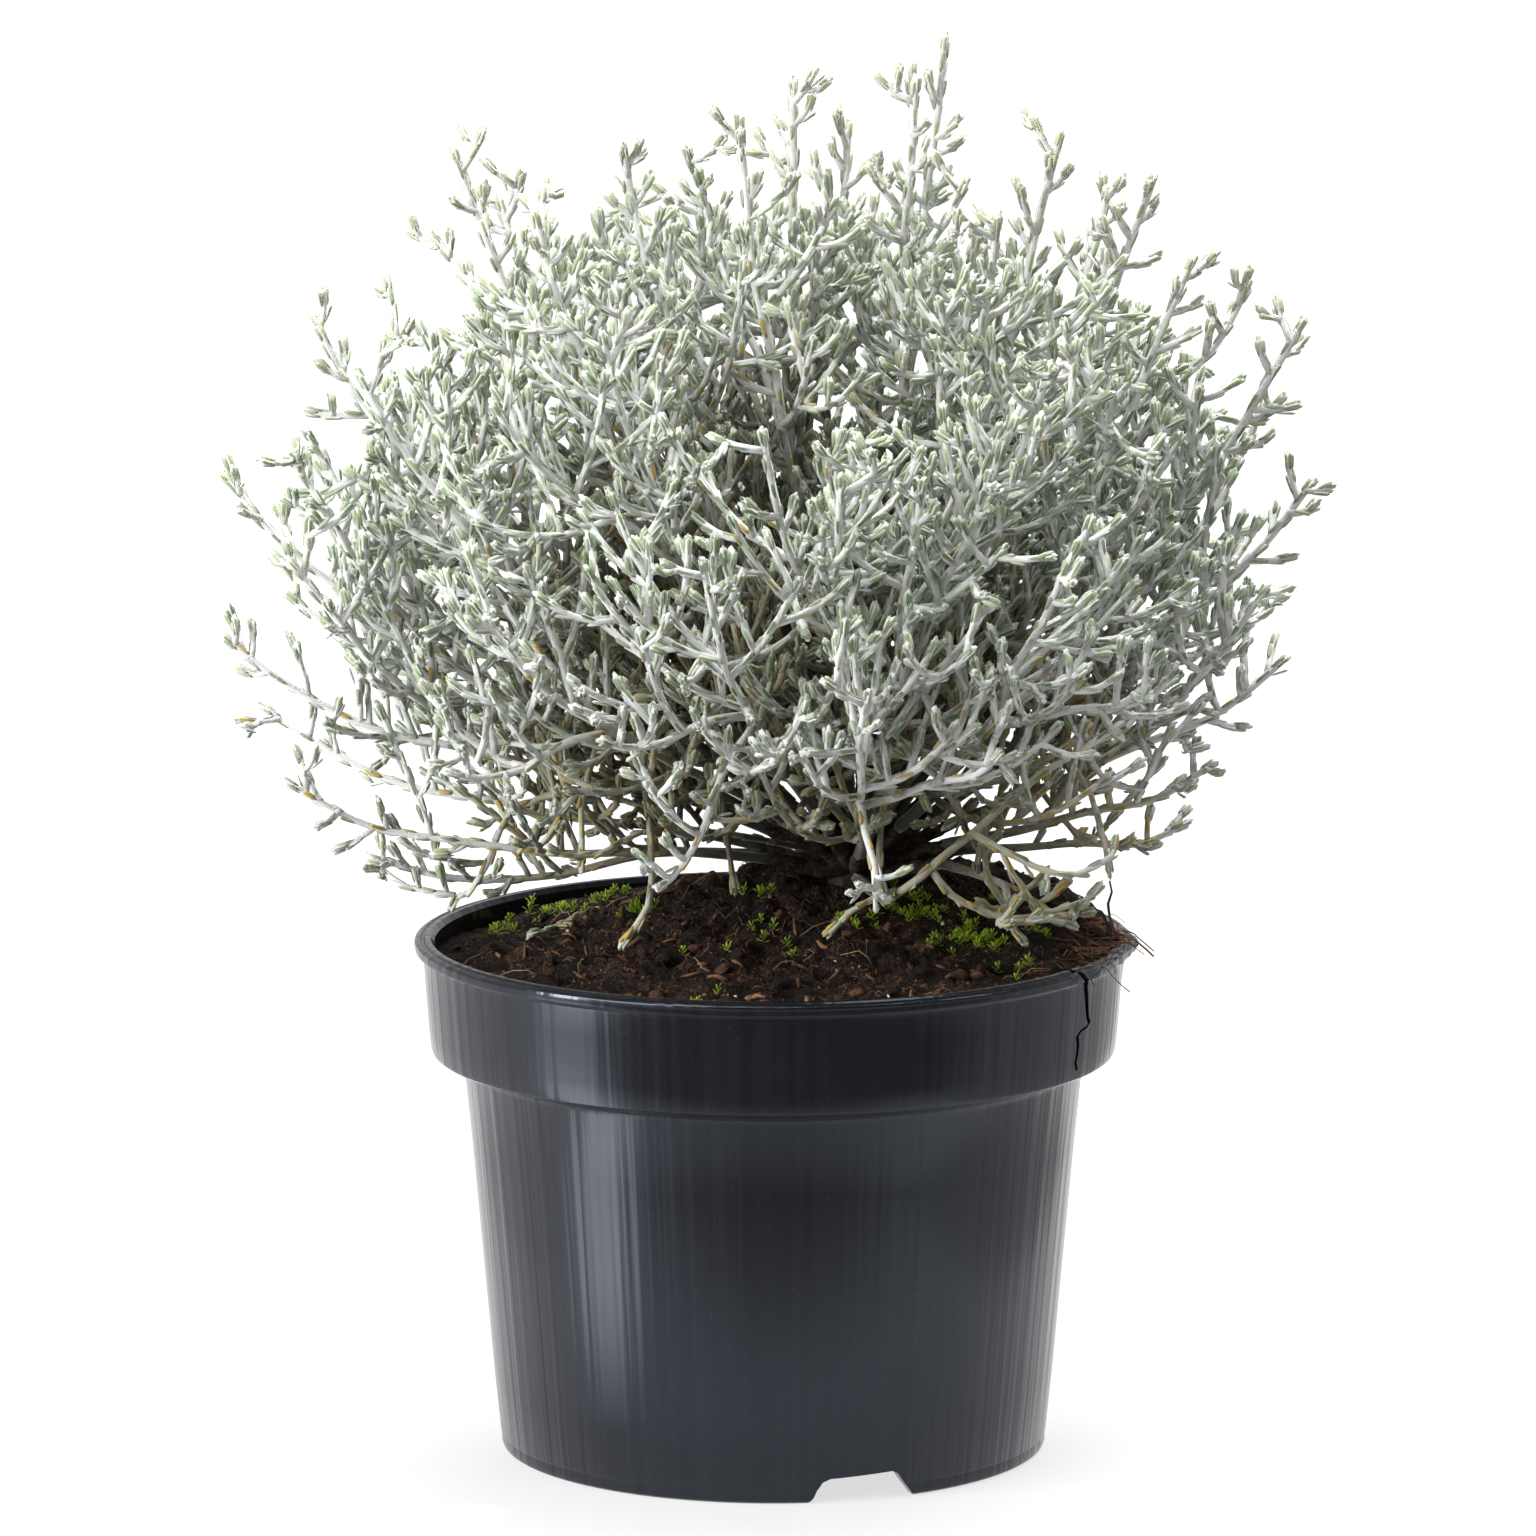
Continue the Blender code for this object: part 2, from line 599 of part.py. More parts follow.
class Bush:
    """Grows the stems, their forks, limbs and twigs in a fixed order from one seed."""

    def __init__(self):
        self.draw = random.Random(SEED)
        self.thicket = Thicket()
        self.shoots = []
        wanted = [np.array(tips[0]) * MM - CROWN for tips in STEM_TIPS]
        self.stub_ways = spread_directions(wanted)
        self.stub_ends = [CROWN + way * STUB_REACH for way in self.stub_ways]

    def sway(self, size):
        return np.array([self.draw.uniform(-size, size) for _ in range(3)])

    def keep(self, stem, level, points, radii):
        shoot = Shoot(len(self.shoots), stem, level, points, radii)
        self.shoots.append(shoot)
        self.thicket.add(shoot)
        return shoot

    def grow_line(self, stem, level, start, way, tip, foot, body, parent):
        """Grow a stem or a fork to its tip, bent clear of what already stands."""
        tip_way = pull_from_heart(tip, *TIP_PULL)
        for attempt in range(STEM_TRIES):
            bend = 0.0 if attempt == 0 else FIRST_BEND + BEND_GROWTH * attempt
            sway = (self.sway(bend), self.sway(bend))
            points = stem_line(start + way * STRAIGHT_FOOT, way, tip, tip_way, sway)
            points = np.vstack((start, points))
            radii = tapered(len(points), foot, body)
            free = above_pot(points[2:], radii[2:])
            if free and self.thicket.is_clear(points, radii, parent):
                return self.keep(stem, level, points, radii)
        return None

    def grow_stems(self):
        order = sorted(range(len(STEM_TIPS)), key=lambda stem: STEM_TIPS[stem][0][2])
        self.leaders = {}
        for stem in order:
            way = self.stub_ways[stem]
            start = self.stub_ends[stem] + way * FIT_GAP
            tip = np.array(STEM_TIPS[stem][0]) * MM
            grown = self.grow_line(stem, 0, start, way, tip, STEM_FOOT_RADIUS, STEM_RADIUS, -1)
            if grown is None:
                raise RuntimeError("stem %d found no free way" % stem)
            self.leaders[stem] = grown

    def grow_forks(self):
        for stem, tips in enumerate(STEM_TIPS):
            leader = self.leaders[stem]
            for tip_place in tips[1:]:
                tip = np.array(tip_place) * MM
                for share in (self.draw.uniform(*FORK_AT), *FORK_OTHERWISE):
                    root, along = leader.place(leader.length() * share)
                    way = unit(unit(tip - root) + along * FORK_SETBACK)
                    grown = self.grow_line(stem, 1, root, way, tip, FORK_RADIUS,
                                           FORK_RADIUS, leader.number)
                    if grown:
                        break

    def side_shoot(self, parent, distance, turn, lengths, radius, steps, level):
        """Try a side shoot at one place, longest first, turning it until it is clear."""
        root, along = parent.place(distance)
        across = unit(np.cross(along, SHOOT_LEVEL_WAY))
        other = np.cross(along, across)
        opening = math.radians(self.draw.uniform(*SHOOT_OPENING))
        curl = self.draw.uniform(*SHOOT_CURL)
        longest, shortest = lengths
        tries = [(size, turn + more) for size in (longest, (longest + shortest) / 2, shortest)
                 for more in SHOOT_TURNS]
        for size, angle in tries:
            side = across * math.cos(angle) + other * math.sin(angle)
            way = along * math.cos(opening) + side * math.sin(opening)
            points = [root]
            for _ in range(steps):
                way = unit(way + pull_from_heart(points[-1], *SHOOT_PULL) * curl)
                points.append(points[-1] + way * size / steps)
            points = np.array(points)
            radii = [radius * SHOOT_ROOT] + [radius] * (steps - 2) + [radius * CLUB_SWELL]
            radii.append(radius * CLUB_SWELL * TIP_TAPER)
            if self.may_grow(points, radii, size, parent.number):
                return self.keep(parent.stem, level, points, radii)
        return None

    def may_grow(self, points, radii, size, parent):
        in_reach = inside_ball(points[-1]) or size < OUTSIDE_REACH
        return (in_reach and inside_ball(points[-1], BALL_SLACK) and above_pot(points, radii)
                and self.thicket.is_clear(points, radii, parent))

    def grow_limbs(self):
        """Limbs leave every stem and fork, one round of places at a time."""
        carriers = [shoot for shoot in self.shoots if shoot.level < 2]
        longest = max(carrier.length() for carrier in carriers)
        for place in range(int(longest / LIMB_SPACING) + 1):
            for carrier in carriers:
                back = LIMB_FIRST + place * LIMB_SPACING
                distance = carrier.length() - back
                if distance < LIMB_BARE:
                    continue
                size = min(LIMB_LENGTHS[0], LIMB_LEAST + back * LIMB_WIDENING)
                turn = carrier.number * LIMB_TURN + place * GOLDEN_ANGLE
                steps = 3 if size > LONG_LIMB else 2
                self.side_shoot(carrier, distance, turn, (size, LIMB_LENGTHS[1]), LIMB_RADIUS,
                                steps, 2)

    def grow_twigs(self):
        """Short twigs leave the limbs, and the stems between their limbs."""
        carriers = [shoot for shoot in self.shoots if shoot.length() > TWIG_CARRIER]
        for place in range(TWIG_ROUNDS):
            for carrier in carriers:
                back = TWIG_FIRST + place * TWIG_SPACING
                if carrier.level < 2:
                    back += LIMB_SPACING / 2 + place * TWIG_SPACING
                distance = carrier.length() - back
                if distance < (TWIG_BARE_ON_STEMS if carrier.level < 2 else TWIG_BARE):
                    continue
                turn = carrier.number * TWIG_TURN + place * GOLDEN_ANGLE + 1.0
                self.side_shoot(carrier, distance, turn, TWIG_LENGTHS, TWIG_RADIUS, 2, 3)

    def grow(self):
        self.grow_stems()
        self.grow_forks()
        self.grow_limbs()
        self.grow_twigs()


# Solids of the bush

def rod_profile(name, sides, group):
    """The many-sided ring that a rod is swept with."""
    curve = bpy.data.curves.new(name, "CURVE")
    curve.dimensions = "2D"
    spline = curve.splines.new("POLY")
    spline.points.add(sides - 1)
    for number, point in enumerate(spline.points):
        angle = number * math.tau / sides
        point.co = (math.cos(angle), math.sin(angle), 0.0, 1.0)
    spline.use_cyclic_u = True
    obj = bpy.data.objects.new(name, curve)
    group.objects.link(obj)
    obj.hide_render = True
    return obj


def rods_mesh(name, lines, profile, group):
    """Closed rods along lines of points, each line a list of points and one of radii."""
    curve = bpy.data.curves.new(name, "CURVE")
    curve.dimensions = "3D"
    curve.bevel_mode = "OBJECT"
    curve.bevel_object = profile
    curve.use_fill_caps = True
    for points, radii in lines:
        spline = curve.splines.new("POLY")
        spline.points.add(len(points) - 1)
        for knot, place, radius in zip(spline.points, points, radii):
            knot.co = (*place, 1.0)
            knot.radius = radius
    obj = bpy.data.objects.new(name, curve)
    group.objects.link(obj)
    mesh = evaluated_copy(obj)
    bpy.data.objects.remove(obj, do_unlink=True)
    tidy_mesh(mesh)
    return mesh


def join_repeats(trunk, meshes):
    """Fuse meshes of loose rods into the one that they grow from."""
    repeats = new_collection("repeats_" + trunk.name)
    for number, mesh in enumerate(meshes):
        link_mesh("%s_repeat_%d" % (trunk.name, number), mesh, repeats)
    union = trunk.modifiers.new("join", "BOOLEAN")
    union.operation = "UNION"
    union.operand_type = "COLLECTION"
    union.collection = repeats
    union.solver = "MANIFOLD"
    joined = evaluated_copy(trunk)
    trunk.modifiers.clear()
    trunk.data = joined
    for obj in list(repeats.objects):
        bpy.data.objects.remove(obj, do_unlink=True)
    bpy.data.collections.remove(repeats)


def make_stem(bush, stem, profiles, parts, cutters, material):
    name = "leafy_stem_%02d" % (stem + 1)
    mine = [shoot for shoot in bush.shoots if shoot.stem == stem]
    meshes = []
    for level in range(4):
        lines = [(shoot.points, shoot.radii) for shoot in mine if shoot.level == level]
        if lines:
            profile = profiles[STEM_SIDES if level < 2 else SHOOT_SIDES]
            meshes.append(rods_mesh(name, lines, profile, cutters))
    obj = link_mesh(name, meshes[0], parts, material)
    if len(meshes) > 1:
        join_repeats(obj, meshes[1:])
    return obj


def make_crown(bush, profiles, parts, cutters, material):
    crown = new_cylinder("woody_crown", parts, TRUNK_SIDES, TRUNK_RADIUS, TRUNK_FOOT, CROWN[2],
                         CROWN)
    crown.data.materials.append(material)
    meshes = []
    for end in bush.stub_ends:
        line = ((CROWN, end), (STUB_RADIUS * STUB_FOOT_SWELL, STUB_RADIUS))
        meshes.append(rods_mesh("stub", [line], profiles[STEM_SIDES], cutters))
    burl = bpy.data.meshes.new("burl")
    shape = bmesh.new()
    bmesh.ops.create_icosphere(shape, subdivisions=1, radius=BURL_RADIUS)
    for vertex in shape.verts:
        vertex.co.z *= BURL_SQUASH
        vertex.co += Vector(CROWN)
    shape.to_mesh(burl)
    shape.free()
    meshes.append(burl)
    join_repeats(crown, meshes)
    return crown


def make_fallen_twig(soil, profiles, parts, cutters, material):
    """A shed shoot that lies on the soil, just clear of its highest bumps."""
    ground = BVHTree.FromObject(soil, bpy.context.evaluated_depsgraph_get())
    first = np.array(FALLEN_FROM)
    last = np.array(FALLEN_TO)
    side = unit(np.array((last[1] - first[1], first[0] - last[0])))
    points = []
    for share in np.linspace(0.0, 1.0, len(FALLEN_SCALES)):
        x, y = first + (last - first) * share + side * FALLEN_BOW * math.sin(math.pi * share)
        hit = ground.ray_cast(Vector((x, y, 2 * POT_HEIGHT)), Vector((0.0, 0.0, -1.0)))
        points.append((x, y, hit[0].z + FALLEN_RADIUS + FIT_GAP))
    radii = [FALLEN_RADIUS * scale for scale in FALLEN_SCALES]
    mesh = rods_mesh("fallen_twig", [(points, radii)], profiles[STEM_SIDES], cutters)
    return link_mesh("fallen_twig", mesh, parts, material)


def main():
    clear_scene()
    parts = new_collection("potted_cushion_bush")
    cutters = new_collection("cutters_and_guides")
    materials = {name: make_material(name) for name in COLOURS}
    profiles = {sides: rod_profile("ring_of_%d" % sides, sides, cutters)
                for sides in (SHOOT_SIDES, STEM_SIDES)}
    make_pot(parts, cutters, materials["pot"])
    soil = make_soil(parts, cutters, materials["soil"])
    bush = Bush()
    bush.grow()
    make_crown(bush, profiles, parts, cutters, materials["bark"])
    for stem in range(len(STEM_TIPS)):
        make_stem(bush, stem, profiles, parts, cutters, materials["silver_leaf"])
    make_fallen_twig(soil, profiles, parts, cutters, materials["silver_leaf"])


main()
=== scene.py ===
"""The looks of the silver cushion bush in its nursery pot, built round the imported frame."""
import math
import random
from contextlib import contextmanager

import bmesh
import bpy
import numpy as np
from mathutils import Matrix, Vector, noise


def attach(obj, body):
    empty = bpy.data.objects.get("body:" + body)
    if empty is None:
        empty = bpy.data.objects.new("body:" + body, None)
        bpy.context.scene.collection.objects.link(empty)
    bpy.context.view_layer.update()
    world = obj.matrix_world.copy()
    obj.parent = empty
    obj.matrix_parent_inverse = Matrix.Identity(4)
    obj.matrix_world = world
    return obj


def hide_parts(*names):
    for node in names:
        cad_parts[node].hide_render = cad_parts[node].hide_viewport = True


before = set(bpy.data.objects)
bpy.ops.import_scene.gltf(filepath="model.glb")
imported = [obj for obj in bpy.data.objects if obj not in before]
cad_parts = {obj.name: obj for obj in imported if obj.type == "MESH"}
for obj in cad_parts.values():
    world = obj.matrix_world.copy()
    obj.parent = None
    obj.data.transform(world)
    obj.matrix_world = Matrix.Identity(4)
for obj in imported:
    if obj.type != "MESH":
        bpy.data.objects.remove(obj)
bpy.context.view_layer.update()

# Sizes are in metres, given as so many MM. Places in tables, and sizes that are drawn at random
# and then scaled, are in mm.
MM = 0.001
FIT_GAP = 0.3 * MM
ROOT = "root"

# Pot sizes, as in the solids
POT_HEIGHT = 137.2 * MM
LIP_RADIUS = 95.0 * MM
LIP_INNER_RADIUS = 89.6 * MM
LIP_THICKNESS = 3.4 * MM
BAND_TOP_RADIUS = 92.6 * MM
BAND_FOOT_RADIUS = 90.7 * MM
BAND_FOOT_HEIGHT = 106.4 * MM
STEP_DROP = 2.4 * MM
BODY_TOP_RADIUS = 81.8 * MM
LIP_FOOT = POT_HEIGHT - LIP_THICKNESS
BODY_TOP = BAND_FOOT_HEIGHT - STEP_DROP
FOOT_RADIUS = 72.4 * MM
FOOT_ROUNDING = 1.6 * MM
WALL = 1.5 * MM
FOOT_RING_WIDTH = 4.4 * MM
FLOOR_UNDERSIDE = 6.0 * MM
FLOOR_TOP = 7.6 * MM
FLOOR_MIDDLE = 3.0 * MM
POT_SEGMENTS = 192
SMOOTH_BELOW = math.radians(32.0)

NOTCH_COUNT = 3
NOTCH_FIRST_ANGLE = math.radians(-71.0)
NOTCH_HEIGHT = 7.4 * MM
NOTCH_FOOT_WIDTH = 29.0 * MM
NOTCH_TOP_WIDTH = 17.0 * MM
NOTCH_DEPTH = 12.0 * MM
NOTCH_BELOW = 2.0 * MM
DRAIN_COUNT = 6
DRAIN_RADIUS = 5.0 * MM
DRAIN_CIRCLE = 45.0 * MM
DRAIN_FIRST_ANGLE = math.radians(19.0)
DRAIN_DEPTH = 8.0 * MM
DRAIN_SIDES = 24

CRACK_ANGLE = math.radians(-28.7)
CRACK_SPREAD = (1.0 * MM, 0.40 * MM)
CRACK_DEPTH = 14.0 * MM
CRACK_TAPER = (1.15, 0.6)
CRACK_LINE = ((-6.6, 139.5), (-5.2, 135.8), (-3.0, 134.3), (0.0, 132.7), (1.0, 129.9), (2.4, 125.4),
              (3.1, 123.1), (4.2, 121.7), (3.2, 120.7), (-0.5, 120.1), (-2.2, 118.9), (-1.5, 116.4),
              (-1.7, 113.5), (-2.2, 112.0), (-1.0, 109.6))
TEAR_END = 0.66
TEAR_DROP = 9.0 * MM
TEAR_GAPE = (0.13, 1.2 * MM)
TEAR_FLAP = (0.47, 0.085, 2.3 * MM)
TEAR_CRUMPLE = 0.55 * MM
TEAR_START = 0.02
TEAR_CUT_DEPTH = 0.6
TEAR_SCALES = (330.0, 800.0)
TEAR_RISE_SCALE = 260.0
TEAR_RISE_SHIFT = Vector((3.0, 1.0, 2.0))
FLAP_SAG = 0.25

# Soil sizes, as in the solids
SOIL_EDGE_HEIGHT = 133.0 * MM
SOIL_MOUNDS = (
    (10.0, 18.0, 42.0, 36.0, 18.5),
    (56.0, 46.0, 26.0, 26.0, 6.5),
    (-66.0, 34.0, 28.0, 28.0, -4.0),
    (80.0, -6.0, 15.0, 26.0, 3.0),
    (-22.0, -42.0, 24.0, 18.0, 1.6),
    (34.0, -58.0, 20.0, 15.0, 1.2),
)
SOIL_SEGMENTS = 260
SOIL_RINGS = 74

# Crown and stems, as in the solids
CROWN = np.array((22.0, 10.0, 153.0)) * MM
TRUNK_RADIUS = 10.0 * MM
STUB_REACH = 25.0 * MM
STUB_RADIUS = 2.1 * MM
STUB_LEAST_ANGLE = math.radians(17.5)
STUB_LEAST_RISE = math.radians(9.0)
STUB_ROUNDS = 400
STUB_NUDGE = 0.12
STEM_TIPS = (
    ((45, 5, 376), (37, -15, 367)),
    ((5, 10, 364), (20, 30, 350)),
    ((-9, -20, 358), (-20, 40, 337)),
    ((-39, -10, 347), (-48, 55, 323)),
    ((75, -10, 352), (58, -45, 335)),
    ((100, 10, 338), (89, 45, 331)),
    ((-84, 0, 347), (-73, 30, 330)),
    ((-62, -30, 334),),
    ((109, -35, 323), (126, 25, 308)),
    ((139, -5, 302),),
    ((-120, 5, 299), (-95, 45, 295)),
    ((-108, -35, 293),),
    ((-145, 10, 259), (-126, -30, 270)),
    ((-145, -5, 218), (-126, -45, 245)),
    ((-137, 35, 193),),
    ((-128, -30, 184),),
    ((-107, -10, 160),),
    ((142, 0, 259), (131, 40, 274)),
    ((136, 10, 210), (128, -50, 239)),
    ((116, -20, 187),),
    ((111, 20, 164),),
    ((84, -34, 150), (62, -58, 152)),
    ((-44, -75, 309), (-72, -85, 292)),
    ((17, -118, 278), (-3, -100, 287)),
    ((38, -112, 276), (55, -105, 277)),
    ((71, -70, 300),),
    ((-18, -133, 259), (-44, -105, 208), (-30, -96, 168)),
    ((75, -108, 255), (97, -80, 219)),
    ((-77, -100, 243), (-84, -84, 196)),
    ((24, -125, 224), (58, -100, 204), (28, -98, 166)),
    ((-60, 75, 300), (-20, 85, 325)),
    ((30, 95, 318), (75, 80, 300)),
    ((-95, 75, 262), (-90, 85, 205)),
    ((-45, 118, 250), (-30, 122, 198)),
    ((5, 132, 268), (35, 126, 200), (12, 108, 170)),
    ((55, 118, 250), (90, 88, 200)),
    ((100, 80, 262),),
)
STEM_FOOT_RADIUS = 1.75 * MM
STEM_RADIUS = 1.5 * MM
FORK_RADIUS = 1.35 * MM
LIMB_RADIUS = 1.25 * MM
TWIG_RADIUS = 1.15 * MM
CLUB_SWELL = 1.3
TIP_TAPER = 0.55
STEM_NODE_SPACING = 24.0 * MM
STEM_ZIGZAG = 0.9 * MM
ZIGZAG_WAY = np.array((0.31, 0.52, 0.11))
STEM_HANDLE = 0.33
STEM_TRIES = 160
FIRST_BEND = 4.0 * MM
BEND_GROWTH = 0.35 * MM
STEM_LEAST_KNOTS = 4
TAPER_SHARE = 0.6
TIP_SWELL = 1.08
TIP_PULL = (0.62, 0.5)
STRAIGHT_FOOT = 3.0 * MM
FORK_AT = (0.42, 0.56)
FORK_OTHERWISE = (0.36, 0.5, 0.62, 0.7)
FORK_SETBACK = 0.35
CLEARANCE = 0.6 * MM
LIP_MARGIN = 6.0 * MM
GROUND_MARGIN = 2.0 * MM
FILL_CLEARANCE = -0.7 * MM

SEED = 41
GOLDEN_ANGLE = math.radians(137.5)
BALL_HEART = np.array((4.0, 0.0, 185.0)) * MM
BALL_CENTRE = np.array((-2.0, 0.0, 236.0)) * MM
BALL_REACH = np.array((133.0, 130.0, 116.0)) * MM
BALL_DROP = 76.0 * MM
BALL_POWER = 2.3
BALL = (BALL_CENTRE, BALL_REACH, BALL_DROP)
BALL_SLACK = 24.0 * MM
OUTSIDE_REACH = 15.0 * MM
SHOOT_OPENING = (56.0, 80.0)
SHOOT_CURL = (0.20, 0.42)
SHOOT_PULL = (0.7, 0.6)
SHOOT_TURNS = (0.0, 0.9, -0.9)
SHOOT_LEVEL_WAY = np.array((0.13, 0.21, 0.97))
SHOOT_ROOT = 0.85
LIMB_FIRST = 7.0 * MM
LIMB_SPACING = 46.0 * MM
LIMB_BARE = 26.0 * MM
LIMB_LENGTHS = (40.0 * MM, 10.4 * MM)
LIMB_LEAST = 10.0 * MM
LIMB_WIDENING = 0.8
LONG_LIMB = 20.0 * MM
LIMB_TURN = 1.7
TWIG_CARRIER = 14.0 * MM
TWIG_ROUNDS = 16
TWIG_FIRST = 5.0 * MM
TWIG_SPACING = 34.0 * MM
TWIG_BARE = 5.0 * MM
TWIG_BARE_ON_STEMS = 34.0 * MM
TWIG_LENGTHS = (18.0 * MM, 9.0 * MM)
TWIG_TURN = 2.3
TWIG_FIRST_TURN = 1.0
ROD_ROOM = 30000
SEARCH_MARGIN = 4.0 * MM

# Fine growth that the solids leave out
FILL_CENTRE = np.array((6.0, 0.0, 232.0)) * MM
FILL_REACH = np.array((122.0, 122.0, 100.0)) * MM
FILL_DROP = 61.0 * MM
FILL_BALL = (FILL_CENTRE, FILL_REACH, FILL_DROP)
FILL_OUTSIDE_REACH = 11.0 * MM
FILL_OPENING = (56.0, 88.0)
FILL_CURL = (0.20, 0.40)
FILL_PULL = (0.5, 0.95)
FILL_JITTER = 0.2
FILL_NEAREST = 3.0 * MM
FILL_TURN = 1.3
FILL_FIRST_TURN = 2.0
FILL_HOLLOWS = (
    (-6.0, -92.0, 288.0, 17.0, 62.0, 27.0),
    (0.0, -112.0, 240.0, 11.0, 45.0, 30.0),
    (-62.0, -105.0, 200.0, 24.0, 45.0, 10.0),
    (24.0, -112.0, 192.0, 32.0, 40.0, 12.0),
    (66.0, -95.0, 246.0, 9.0, 50.0, 26.0),
)
FILL_ROUNDS = (
    {"levels": (0, 1), "first": 26.0 * MM, "spacing": 24.0 * MM, "bare": 18.0 * MM,
     "lengths": (64.0 * MM, 18.0 * MM, 12.0 * MM), "steps": 6, "widen": 0.8},
    {"levels": (0, 1), "first": 12.0 * MM, "spacing": 14.5 * MM, "bare": 12.0 * MM,
     "lengths": (44.0 * MM, 14.0 * MM, 10.0 * MM), "steps": 5, "widen": 0.6},
    {"levels": (2,), "first": 7.0 * MM, "spacing": 10.0 * MM, "bare": 5.0 * MM,
     "lengths": (30.0 * MM, 10.0 * MM, 8.0 * MM), "steps": 4, "widen": 0.75},
    {"levels": (0, 1), "first": 5.0 * MM, "spacing": 13.0 * MM, "bare": 20.0 * MM,
     "lengths": (17.0 * MM, 8.0 * MM, 6.0 * MM), "steps": 3, "widen": 0.15},
    {"levels": (3,), "first": 7.0 * MM, "spacing": 13.0 * MM, "bare": 5.0 * MM,
     "lengths": (12.0 * MM, 7.0 * MM, 5.0 * MM), "steps": 2, "least": 17.0 * MM},
)

# Low shoots that hang over the pot, each as its level and its places from root to tip
LOW_SHOOTS = (
    (1, ((16, 4, 160), (-12, -14, 176), (-35, -20, 181.8), (-56, -17.8, 178.2),
         (-64.7, -16.7, 175.6), (-68.9, -15.6, 173.5), (-71.6, -14.5, 168.5),
         (-75.6, -12.9, 158.1), (-80.4, -11.5, 150.5), (-83.9, -10.7, 149.1), (-85.2, -10, 146))),
    (2, ((-75.7, -10, 158.3), (-82.4, -12.8, 159.1), (-90, -15.6, 161.5), (-94.9, -18.4, 164.1),
         (-100.9, -24, 173.4))),
    (2, ((-83.9, -10, 149.7), (-89.5, -8.4, 150.1), (-96.6, -6.8, 151.3), (-100.9, -5.2, 153.8),
         (-107.7, -2, 159))),
    (2, ((-77.5, -10, 153.2), (-73.8, -14, 155.4), (-71.6, -18, 160.5))),
    (3, ((-86, -9, 150.1), (-87, -10.5, 154.5), (-88, -12, 158.7))),
    (3, ((-89.1, -18, 161.2), (-88.9, -19, 164.5), (-88.8, -20, 167.6))),
    (3, ((-93.2, -7, 150.5), (-93.8, -8, 153.5), (-94.4, -9, 156.8))),
    (2, ((-46, -32, 194), (-49.3, -38, 182.9), (-50.1, -40.7, 177.5), (-49.8, -43.3, 170.1),
         (-50.1, -46, 162.9))),
    (2, ((10, 0, 160), (-12, -20, 168), (-30.9, -34, 171.5), (-39.7, -42, 169.8),
         (-45.9, -46, 167.1), (-54.9, -51.3, 168.1), (-58.6, -54, 170.7))),
    (1, ((14, -2, 162), (-14, -22, 196), (-30, -32, 199), (-34.1, -35.7, 188.6),
         (-32.7, -37.4, 178.3), (-31.7, -39.1, 163.7), (-32, -41, 156.9), (-32.7, -43, 153.1),
         (-36.1, -45, 147.7), (-39.9, -47, 142.8))),
    (2, ((4, -6, 172), (-10, -18, 188), (-13.5, -22, 180), (-12.5, -24, 174.5), (-11.8, -26, 165.5),
         (-10.7, -28, 158.7), (-9.7, -30, 154))),
    (0, ((22, 2, 152), (29, -22, 151), (31.7, -46, 156.5), (39.3, -50.4, 162.9),
         (42.8, -49.6, 166.3), (52.5, -48.7, 174), (60.9, -47.8, 181.6), (71.3, -46.9, 189.9),
         (81.1, -46, 195.4), (94, -42, 204))),
    (2, ((31.7, -47.5, 158.1), (26.8, -50.2, 156.7), (20.5, -52.1, 153.5), (13.6, -54, 147.4))),
    (1, ((28, -20, 190), (29.3, -40, 183.2), (28.2, -44, 176.6), (27.5, -48, 163.9),
         (28.5, -49.5, 157.4))),
    (1, ((40.7, -49.5, 164.2), (46.3, -49, 157.2), (54, -47, 152.8), (61, -45, 150.2),
         (69.4, -43, 150.4), (75, -42, 148.7), (79.2, -40, 147))),
    (2, ((59.6, -45, 150.6), (62.3, -48, 147.8), (65.8, -50, 144.4))),
    (2, ((69.4, -43, 150.6), (75.1, -40.7, 152), (81.4, -38.3, 153.9), (85.7, -36, 157.8))),
    (1, ((51.5, -49, 173.6), (58.1, -52.4, 170.4), (63.6, -53.9, 167.8), (71.2, -55.3, 164.5),
         (78.9, -55.1, 163.8), (83.8, -53.4, 165.6), (87.9, -51.7, 168.1), (89.1, -50, 172.8))),
    (2, ((59.1, -52, 169.7), (61.6, -50.7, 163.8), (65.2, -48.3, 158.3), (69.4, -44.5, 151.5))),
    (3, ((71.2, -55, 164.2), (70.8, -54, 161.3), (70.3, -53, 158.4))),
    (2, ((76, -27, 190), (82.7, -30, 181.4), (84.3, -31.3, 175.8), (86.8, -32.7, 166.8),
         (87.9, -34, 159.2))),
)
LOW_SHOOT_RADIUS = 1.1 * MM
LOW_SEED = 55

# The shed twig on the soil, with a bow along it and a side shoot near its middle
FALLEN_ENDS = ((-65.0, 2.0), (-51.0, 27.0))
FALLEN_KNOTS = 6
FALLEN_BOW = 1.6
FALLEN_RISE = 1.9 * MM
FALLEN_FORK = ((2.5, -1.0, 0.6), (4.5, -3.0, 1.0))
FALLEN_RADIUS = 1.0 * MM
FALLEN_SEED = 77

